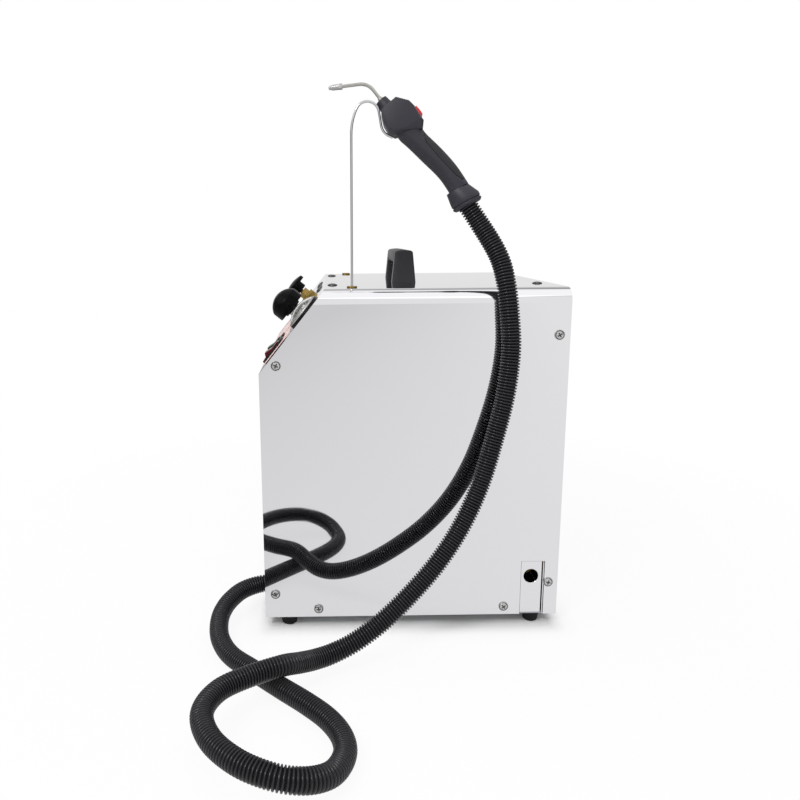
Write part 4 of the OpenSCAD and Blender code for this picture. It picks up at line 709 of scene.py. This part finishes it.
# %% Finger gap
gap_half, gap_top, gap_r = 0.042, low[2] + 0.024, 0.007
past_side, past_foot = 0.03, 0.02
cutter = new_cube("finger_gap", (-gap_half, -past_side, low[2] - past_foot),
                  (gap_half, past_side, gap_top))
radius = cutter.modifiers.new("gap_corner", "BEVEL")
radius.width, radius.segments = gap_r, 6
apply_all(cutter)
cut = handle.modifiers.new("finger_gap", "BOOLEAN")
cut.operation, cut.object, cut.solver = "DIFFERENCE", cutter, "EXACT"
apply_all(handle)
bpy.data.objects.remove(cutter)
print("handle with its gap:", len(handle.data.polygons), "faces")

# %% Mould radii and level feet
foot_extra, mould_r = 0.005, 0.0022
pick_faces(handle, lambda c, n: n.z < -0.9 and c.z < low[2] + 1e-4)
bpy.ops.mesh.extrude_region_move(TRANSFORM_OT_translate={"value": (0, 0, -foot_extra)})
bpy.ops.object.mode_set(mode="OBJECT")
edge = handle.modifiers.new("mould_radius", "BEVEL")
edge.width, edge.segments = mould_r, 4
edge.limit_method, edge.angle_limit = "ANGLE", math.radians(30)
apply_all(handle)
bpy.ops.object.mode_set(mode="EDIT")
bpy.ops.mesh.select_all(action="SELECT")
bpy.ops.mesh.bisect(plane_co=(0, 0, low[2]), plane_no=(0, 0, 1), use_fill=True, clear_inner=True)
bpy.ops.object.mode_set(mode="OBJECT")
bpy.ops.object.shade_smooth_by_angle(angle=smooth_under)
coat(handle, handle_black)
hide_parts("carry_handle")
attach(handle, "machine")
print("handle faces:", len(handle.data.polygons))

# %% [markdown]
# ## Pan-head screws
# All the cover's screws are one kind: a flange, a low domed head and a cross recess. One is modelled
# from a cylinder, whose top is inset and moved in steps to make the flange, a fine groove and the
# dome, and whose foot is drawn out to the shank. The recess is two crossed bars taken out of it. The
# groove and the recess get a dull dark grey, as painted shade. The screw is then copied to every
# place, because eighteen screws modelled one by one would only differ by mistake.

# %% Screw head and shank
flange_r, flange_h, shank_r, shank_l = 0.0057, 0.0009, 0.002, 0.006
head_steps = [(0.0006, 0), (0.0003, -0.0004), (0.0002, 0), (0.0005, 0.0009), (0.0010, 0.0004),
              (0.0014, 0.0002)]
bpy.ops.object.select_all(action="DESELECT")
bpy.ops.mesh.primitive_cylinder_add(vertices=32, radius=flange_r, depth=flange_h,
                                    location=(0, 0, flange_h / 2))
screw = bpy.context.object
screw.name = "pan_screw"
bpy.ops.object.transform_apply(location=True, rotation=True, scale=True)
bpy.ops.object.mode_set(mode="EDIT")
bpy.ops.mesh.select_mode(type="FACE")
pick_faces(screw, lambda c, n: n.z > 0.9)
for inset, rise in head_steps:
    bpy.ops.mesh.inset(thickness=inset)
    bpy.ops.transform.translate(value=(0, 0, rise))
pick_faces(screw, lambda c, n: n.z < -0.9)
bpy.ops.mesh.inset(thickness=flange_r - shank_r)
bpy.ops.mesh.extrude_region_move(TRANSFORM_OT_translate={"value": (0, 0, -shank_l)})
bpy.ops.object.mode_set(mode="OBJECT")
print("screw blank:", len(screw.data.polygons), "faces")

# %% Cross recess
slot_half_l, slot_half_w, slot_floor, slot_top, rim_r = 0.0027, 0.0007, 0.0009, 0.004, 0.00014
for turn in (0, 90):
    bar = new_cube("cross_bar", (-slot_half_l, -slot_half_w, slot_floor),
                   (slot_half_l, slot_half_w, slot_top))
    bar.rotation_euler[2] = math.radians(turn)
    cut = screw.modifiers.new("recess", "BOOLEAN")
    cut.operation, cut.object, cut.solver = "DIFFERENCE", bar, "EXACT"
    apply_all(screw)
    bpy.data.objects.remove(bar)
edge = screw.modifiers.new("rim", "BEVEL")
edge.width, edge.segments = rim_r, 2
edge.limit_method, edge.angle_limit = "ANGLE", math.radians(50)
apply_all(screw)
bpy.ops.object.shade_smooth_by_angle(angle=smooth_under)
print("screw with its recess:", len(screw.data.polygons), "faces")

# %% Painted shade in the groove and the recess
recess_out, recess_z = 0.0028, (0.0008, 0.0017)
groove_out, groove_z = (0.0044, 0.00515), (0.0003, 0.00086)
coat(screw, zinc)
# A second finish, a dull dark grey, paints shade into the groove and the recess.
screw.data.materials.append(recess_shade)
shaded_faces = 0
for face in screw.data.polygons:
    out = math.hypot(face.center.x, face.center.y)
    in_recess = out < recess_out and recess_z[0] < face.center.z < recess_z[1]
    in_groove = groove_out[0] < out < groove_out[1] and groove_z[0] < face.center.z < groove_z[1]
    face.material_index = 1 if in_recess or in_groove else 0
    shaded_faces += face.material_index
print("shade_painted faces:", shaded_faces)

# %% Helpers: places on the slope, and copies
case_x, case_top, slope_y, slope_z = 0.180, 0.392, -0.170, 0.301
slope_rise, slope_run = 0.091, 0.073
slope = math.atan2(slope_rise, slope_run)

def on_slope(x, s, h=0.0):
    """Frame on the sloped panel: across, up the slope and out of it, in metres."""
    return (Matrix.Translation((x, slope_y + s * math.cos(slope), slope_z + s * math.sin(slope)))
            @ Matrix.Rotation(slope, 4, "X") @ Matrix.Translation((0, 0, h)))

def copies(model, name, frames):
    """Copies of a model, each with its own mesh, put in the given frames and joined in one piece."""
    made = []
    for placed in frames:
        twin = model.copy()
        twin.data = model.data.copy()
        twin.data.transform(placed)
        bpy.context.scene.collection.objects.link(twin)
        made.append(twin)
    bpy.ops.object.select_all(action="DESELECT")
    for twin in made:
        twin.select_set(True)
    bpy.context.view_layer.objects.active = made[0]
    bpy.ops.object.join()
    made[0].name = name
    return made[0]

print("slope:", round(math.degrees(slope), 2), "degrees")

# %% Screws in their places
side_places = [(-0.158, 0.041), (-0.15102, 0.310), (-0.108, 0.022), (0.108, 0.022), (0.159, 0.052),
               (0.158, 0.341)]
turned = [20, 65, 10, 40, 75, 30]
top_x, top_y = (-0.103, 0.103), (-0.088, 0.152)
slope_screw_x, slope_screw_s = (-0.04, 0.04), 0.10516
frames = [Matrix.Translation((side * case_x, y, z)) @ Matrix.Rotation(side * math.pi / 2, 4, "Y")
          @ Matrix.Rotation(math.radians(t), 4, "Z")
          for side in (-1, 1) for (y, z), t in zip(side_places, turned)]
# No two screws stop at the same turn, so each gets its own from its place.
tops = [Matrix.Translation((x, y, case_top)) @ Matrix.Rotation(math.radians(25 + 300 * x + 90 * y), 4, "Z")
        for x in top_x for y in top_y]
slopes = [on_slope(x, slope_screw_s) @ Matrix.Rotation(math.radians(400 * x), 4, "Z")
          for x in slope_screw_x]
# The top and slope screws get the darker zinc copy, painted darker as shade.
for node, places_of, plate in (("side_screws", frames, zinc), ("top_screws", tops, shaded_zinc),
                               ("slope_screws", slopes, shaded_zinc)):
    group = copies(screw, node + "_pan", places_of)
    group.data.materials[0] = plate
    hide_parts(node)
    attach(group, "machine")
bpy.data.objects.remove(screw)
print("screws placed:", len(frames) + len(tops) + len(slopes))

# %% [markdown]
# ## Drain slit and seam
# The drain plate sits in a notch of the cover. Beside it is a slit where the sheet is folded in, and
# along its other edges a thin dark line of painted shade marks the gap between plate and cover. The
# fold is a cube at the size of the lip, with bevelled edges. The line is two thin bars, joined and
# softened. It could be painted on the sheet, but a piece of its own stays in the joint from every side.

# %% Folded edge in the slit
low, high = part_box("cover")
fold_x, fold_y, fold_h, fold_r = (0.1720, 0.1788), (0.1529, 0.1542), 0.0655, 0.0004
fold = new_cube("slit_fold", (fold_x[0], fold_y[0], low[2]), (fold_x[1], fold_y[1], low[2] + fold_h))
edge = fold.modifiers.new("sheet_edge", "BEVEL")
edge.width, edge.segments = fold_r, 3
apply_all(fold)
bpy.ops.object.shade_smooth_by_angle(angle=smooth_under)
coat(fold, stainless)
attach(fold, "machine")
print("fold faces:", len(fold.data.polygons))

# %% Dark seam of painted shade round the drain plate
notch_front, notch_rear, notch_top = 0.1270, 0.1515, low[2] + 0.066
seam_x, seam_w, seam_r = (0.1782, 0.1792), 0.0006, 0.00015
seam_bars = [
    new_cube("seam_side", (seam_x[0], notch_front, low[2]), (seam_x[1], notch_front + seam_w, notch_top)),
    new_cube("seam_top", (seam_x[0], notch_front + seam_w, notch_top - seam_w),
             (seam_x[1], notch_rear, notch_top)),
]
bpy.ops.object.select_all(action="DESELECT")
for bar in seam_bars:
    bar.select_set(True)
bpy.context.view_layer.objects.active = seam_bars[0]
bpy.ops.object.join()
seam = seam_bars[0]
seam.name = "drain_seam"
edge = seam.modifiers.new("soft_edge", "BEVEL")
edge.width, edge.segments = seam_r, 2
apply_all(seam)
bpy.ops.object.shade_smooth_by_angle(angle=smooth_under)
# The seam bars get the dull dark grey of painted shade, for the shaded gap round the plate.
coat(seam, recess_shade)
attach(seam, "machine")
print("seam faces:", len(seam.data.polygons))

# %% [markdown]
# ## Gauge face
# Under the domed window lies a white dial. Its scale is printed: a stroke for every unit, shorter
# ones between, and plain numbers. One long and one short stroke are made from cubes and copied
# round the dial, and the numbers are text turned to mesh. A drawn pattern could stand for the print,
# but strokes of real shape stay sharp when the gauge is seen close up.

# %% Strokes of the scale
gauge_x, gauge_s, dial_h = 0.115, 0.0776, -0.00215
scale_from, scale_step, stroke_count, long_every = 225, 9, 31, 6
stroke_out, stroke_t = 0.0165, 0.0001
dial = on_slope(gauge_x, gauge_s, dial_h)
strokes = []
for i in range(stroke_count):
    angle = math.radians(scale_from - scale_step * i)
    strokes.append((i % long_every == 0, dial @ Matrix.Rotation(angle, 4, "Z")))
long_mark = new_cube("long_stroke", (0.0135, -0.00035, 0), (stroke_out, 0.00035, stroke_t))
short_mark = new_cube("short_stroke", (0.0148, -0.00018, 0), (stroke_out, 0.00018, stroke_t))
marks_made = [copies(long_mark, "dial_long", [m for is_long, m in strokes if is_long]),
              copies(short_mark, "dial_short", [m for is_long, m in strokes if not is_long])]
print("strokes:", len(strokes))

# %% Numbers of the scale
number_r, number_h, number_size, number_t = 0.0108, 0.00006, 0.0042, 0.00005
for i, number in enumerate(("0", "2", "4", "6", "8", "10")):
    angle = math.radians(scale_from - scale_step * long_every * i)
    bpy.ops.object.select_all(action="DESELECT")
    bpy.ops.object.text_add()
    label = bpy.context.object
    label.data.body = number
    label.data.size = number_size
    label.data.align_x, label.data.align_y = "CENTER", "CENTER"
    label.data.extrude = number_t
    bpy.ops.object.convert(target="MESH")
    label = bpy.context.object
    at_mark = (number_r * math.cos(angle), number_r * math.sin(angle), number_h)
    label.data.transform(dial @ Matrix.Translation(at_mark))
    marks_made.append(label)
bpy.data.objects.remove(long_mark)
bpy.data.objects.remove(short_mark)
bpy.ops.object.select_all(action="DESELECT")
for piece in marks_made:
    piece.select_set(True)
bpy.context.view_layer.objects.active = marks_made[0]
bpy.ops.object.join()
dial_marks = marks_made[0]
dial_marks.name = "dial_marks"
coat(dial_marks, dial_black)
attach(dial_marks, "machine")
print("dial marks faces:", len(dial_marks.data.polygons))

# %% [markdown]
# ## Bezel
# The gauge is held by one ring in two tones: a black rim against the panel and a satin steel front.
# Two rings could be made, but it is one pressed part. So the rounded ring is cut across at the height
# where the tone changes, and the faces above the cut get the second finish.

# %% Satin ring on a black rim
bezel_edge_mm, rim_h = 0.25, 0.0019
bezel = rounded("gauge_bezel", bezel_edge_mm, segments=2)
slope_face = on_slope(gauge_x, gauge_s)
outward = slope_face.to_3x3() @ Vector((0, 0, 1))
bpy.ops.object.mode_set(mode="EDIT")
bpy.ops.mesh.select_all(action="SELECT")
bpy.ops.mesh.bisect(plane_co=slope_face.translation + rim_h * outward, plane_no=outward)
bpy.ops.object.mode_set(mode="OBJECT")
coat(bezel, switch_black)
bezel.data.materials.append(satin_steel)
for face in bezel.data.polygons:
    face.material_index = 1 if (face.center - slope_face.translation).dot(outward) > rim_h else 0
print("satin faces:", sum(face.material_index for face in bezel.data.polygons))

# %% [markdown]
# ## Floor
# The photograph is a cut-out on pure white with only a soft shadow on the floor. Strong lamps could
# burn a floor to white, but they would bleach the machine too. So the floor is matte white near the
# machine, where it keeps that shadow, and the share of plain white that the camera sees grows with the
# distance from the case. Polished sheet mirrors the floor as well, in slightly softer tones.

# %% Floor plane and its fade
bpy.ops.object.select_all(action="DESELECT")
bpy.ops.mesh.primitive_plane_add(size=12, location=(0, 0, 0))
floor = bpy.context.object
floor.name = "studio_floor"
floor_white = bpy.data.materials.new("floor_matte_white")
floor_white.use_nodes = True
tree = floor_white.node_tree
tree.nodes.clear()
shadow_rim, fade_reach = (0.186, 0.162, 0), 0.6
place = add(tree, "TexCoord")
away_from = add(tree, "VectorMath", {"operation": "ABSOLUTE"}, {0: (place, "Object")})
away_from = add(tree, "VectorMath", {"operation": "SUBTRACT", 1: shadow_rim}, {0: (away_from, "Vector")})
away_from = add(tree, "VectorMath", {"operation": "MAXIMUM", 1: (0, 0, 0)}, {0: (away_from, "Vector")})
reach = add(tree, "VectorMath", {"operation": "LENGTH"}, {0: (away_from, "Vector")})
reach = add(tree, "MapRange", {"From Max": fade_reach}, {"Value": (reach, "Value")})
fade = add(tree, "ValToRGB", None, {"Fac": (reach, "Result")})
stops = [(0.0, 0.03), (0.01, 0.3), (0.03, 0.8), (0.06, 0.91), (0.5, 0.94), (1.0, 1.0)]
for i, (far, white_share) in enumerate(stops):
    stop = fade.color_ramp.elements[i] if i < 2 else fade.color_ramp.elements.new(far)
    stop.position, stop.color = far, (white_share,) * 3 + (1,)
print("fade stops:", len(fade.color_ramp.elements))

# %% Floor shader
path = add(tree, "LightPath")
slant = add(tree, "VectorMath", {"operation": "DOT_PRODUCT", 1: (-0.04, 0.17, 0)}, {0: (place, "Object")})
slant = add(tree, "MapRange", {"From Min": -0.165, "From Max": 0.055, "To Min": 0.78},
            {"Value": (slant, "Value")})
parts = add(tree, "SeparateXYZ", None, {"Vector": (place, "Object")})
behind = add(tree, "MapRange", {"From Min": -0.5, "From Max": -0.25, "To Min": 0.4},
             {"Value": (parts, "X")})
slant = add(tree, "Math", {"operation": "MULTIPLY"}, {0: (slant, "Result"), 1: (behind, "Result")})
dim = add(tree, "Mix", {2: 1.0}, {0: (path, "Is Glossy Ray"), 3: (slant, "Value")})
glow = add(tree, "Emission", {"Color": (1, 1, 1, 1)}, {"Strength": (dim, 0)})
seen = add(tree, "Math", {"operation": "MAXIMUM"}, {0: (path, "Is Camera Ray"), 1: (path, "Is Glossy Ray")})
seen = add(tree, "Math", {"operation": "MAXIMUM"}, {0: (seen, "Value"), 1: (path, "Is Transmission Ray")})
share = add(tree, "Math", {"operation": "MULTIPLY"}, {0: (seen, "Value"), 1: (fade, "Color")})
matte = add(tree, "BsdfDiffuse", {"Color": (0.93, 0.93, 0.93, 1)})
surface = add(tree, "MixShader", None, {0: (share, "Value"), 1: (matte, "BSDF"), 2: (glow, "Emission")})
add(tree, "OutputMaterial", None, {"Surface": (surface, "Shader")})
coat(floor, floor_white)
print("floor:", floor.dimensions[0], "m")

# %% [markdown]
# ## Room and lamps
# Polished sheet is as grey as what it mirrors. The camera sees a plain white room, and so does the
# gauge's window. To the metal, the room's walls and ceiling are a few soft tones, as the screens and
# corners of a real studio give. Real walls could be built for that, but they would stand in the way of
# other views. Three soft lamps light the machine: a wide one overhead, one in front and a small key.

# %% Tones of the room
scene = bpy.context.scene
scene.view_settings.view_transform = "Standard"
world = bpy.data.worlds.new("white_room")
scene.world = world
world.use_nodes = True
tree = world.node_tree
tree.nodes.clear()
place = add(tree, "TexCoord")
parts = add(tree, "SeparateXYZ", None, {"Vector": (place, "Generated")})
across = add(tree, "MapRange", {"From Min": -1.0}, {"Value": (parts, "X")})
walls = add(tree, "ValToRGB", None, {"Fac": (across, "Result")})
wall_tones = [(0.035, 0.82), (0.07, 0.62), (0.3, 0.62), (0.4, 1.0)]
for i, (far, tone) in enumerate(wall_tones):
    stop = walls.color_ramp.elements[i] if i < 2 else walls.color_ramp.elements.new(far)
    stop.position, stop.color = far, (tone,) * 3 + (1,)
ceiling = add(tree, "MapRange", {"From Min": 0.62, "From Max": 0.8, "To Min": 1.0, "To Max": 0.48},
              {"Value": (parts, "Z")})
walls = add(tree, "Math", {"operation": "MULTIPLY"}, {0: (walls, "Color"), 1: (ceiling, "Result")})
aside = add(tree, "Math", {"operation": "ABSOLUTE"}, {0: (parts, "Y")})
aside = add(tree, "MapRange", {"From Min": 0.5, "From Max": 0.62, "To Max": 0.6},
            {"Value": (aside, "Value")})
level = add(tree, "MapRange", {"From Min": 0.3, "From Max": 0.42, "To Min": 1.0, "To Max": 0.0},
            {"Value": (parts, "Z")})
aside = add(tree, "Math", {"operation": "MULTIPLY"}, {0: (aside, "Result"), 1: (level, "Result")})
aside = add(tree, "Math", {"operation": "SUBTRACT", 0: 1.0}, {1: (aside, "Value")})
walls = add(tree, "Math", {"operation": "MULTIPLY"}, {0: (walls, "Value"), 1: (aside, "Value")})
print("wall tones:", wall_tones)

# %% What each ray sees
room_light = 0.5
path = add(tree, "LightPath")
room = add(tree, "Background", {"Color": (1, 1, 1, 1), "Strength": room_light})
shown = add(tree, "Background", {"Color": (1, 1, 1, 1)}, {"Strength": (walls, "Value")})
white = add(tree, "Background", {"Color": (1, 1, 1, 1), "Strength": 1.0})
seen = add(tree, "Math", {"operation": "MAXIMUM"},
           {0: (path, "Is Camera Ray"), 1: (path, "Is Transmission Ray")})
both = add(tree, "MixShader", None,
           {0: (path, "Is Glossy Ray"), 1: (room, "Background"), 2: (shown, "Background")})
both = add(tree, "MixShader", None, {0: (seen, "Value"), 1: (both, "Shader"), 2: (white, "Background")})
add(tree, "OutputWorld", None, {"Surface": (both, "Shader")})
print("room light:", room_light)

# %% Lamps
def softbox(name, stand, aim, size, power):
    """A square soft lamp at a place, aimed at a point."""
    lamp = bpy.data.lights.new(name, "AREA")
    lamp.shape = "SQUARE"
    lamp.size = size
    lamp.energy = power
    holder = bpy.data.objects.new(name, lamp)
    scene.collection.objects.link(holder)
    holder.location = stand
    holder.rotation_euler = (Vector(aim) - Vector(stand)).to_track_quat("-Z", "Y").to_euler()
    print(name, "power:", power, "W")

softbox("overhead_softbox", (0.3, -0.1, 2.2), (0.1, 0, 0.2), 3.0, 21)
softbox("front_softbox", (0.3, -2.2, 1.7), (0.1, 0, 0.3), 1.6, 5)
softbox("key_softbox", (1.4, -1.0, 1.6), (0.2, 0, 0.3), 0.5, 11)
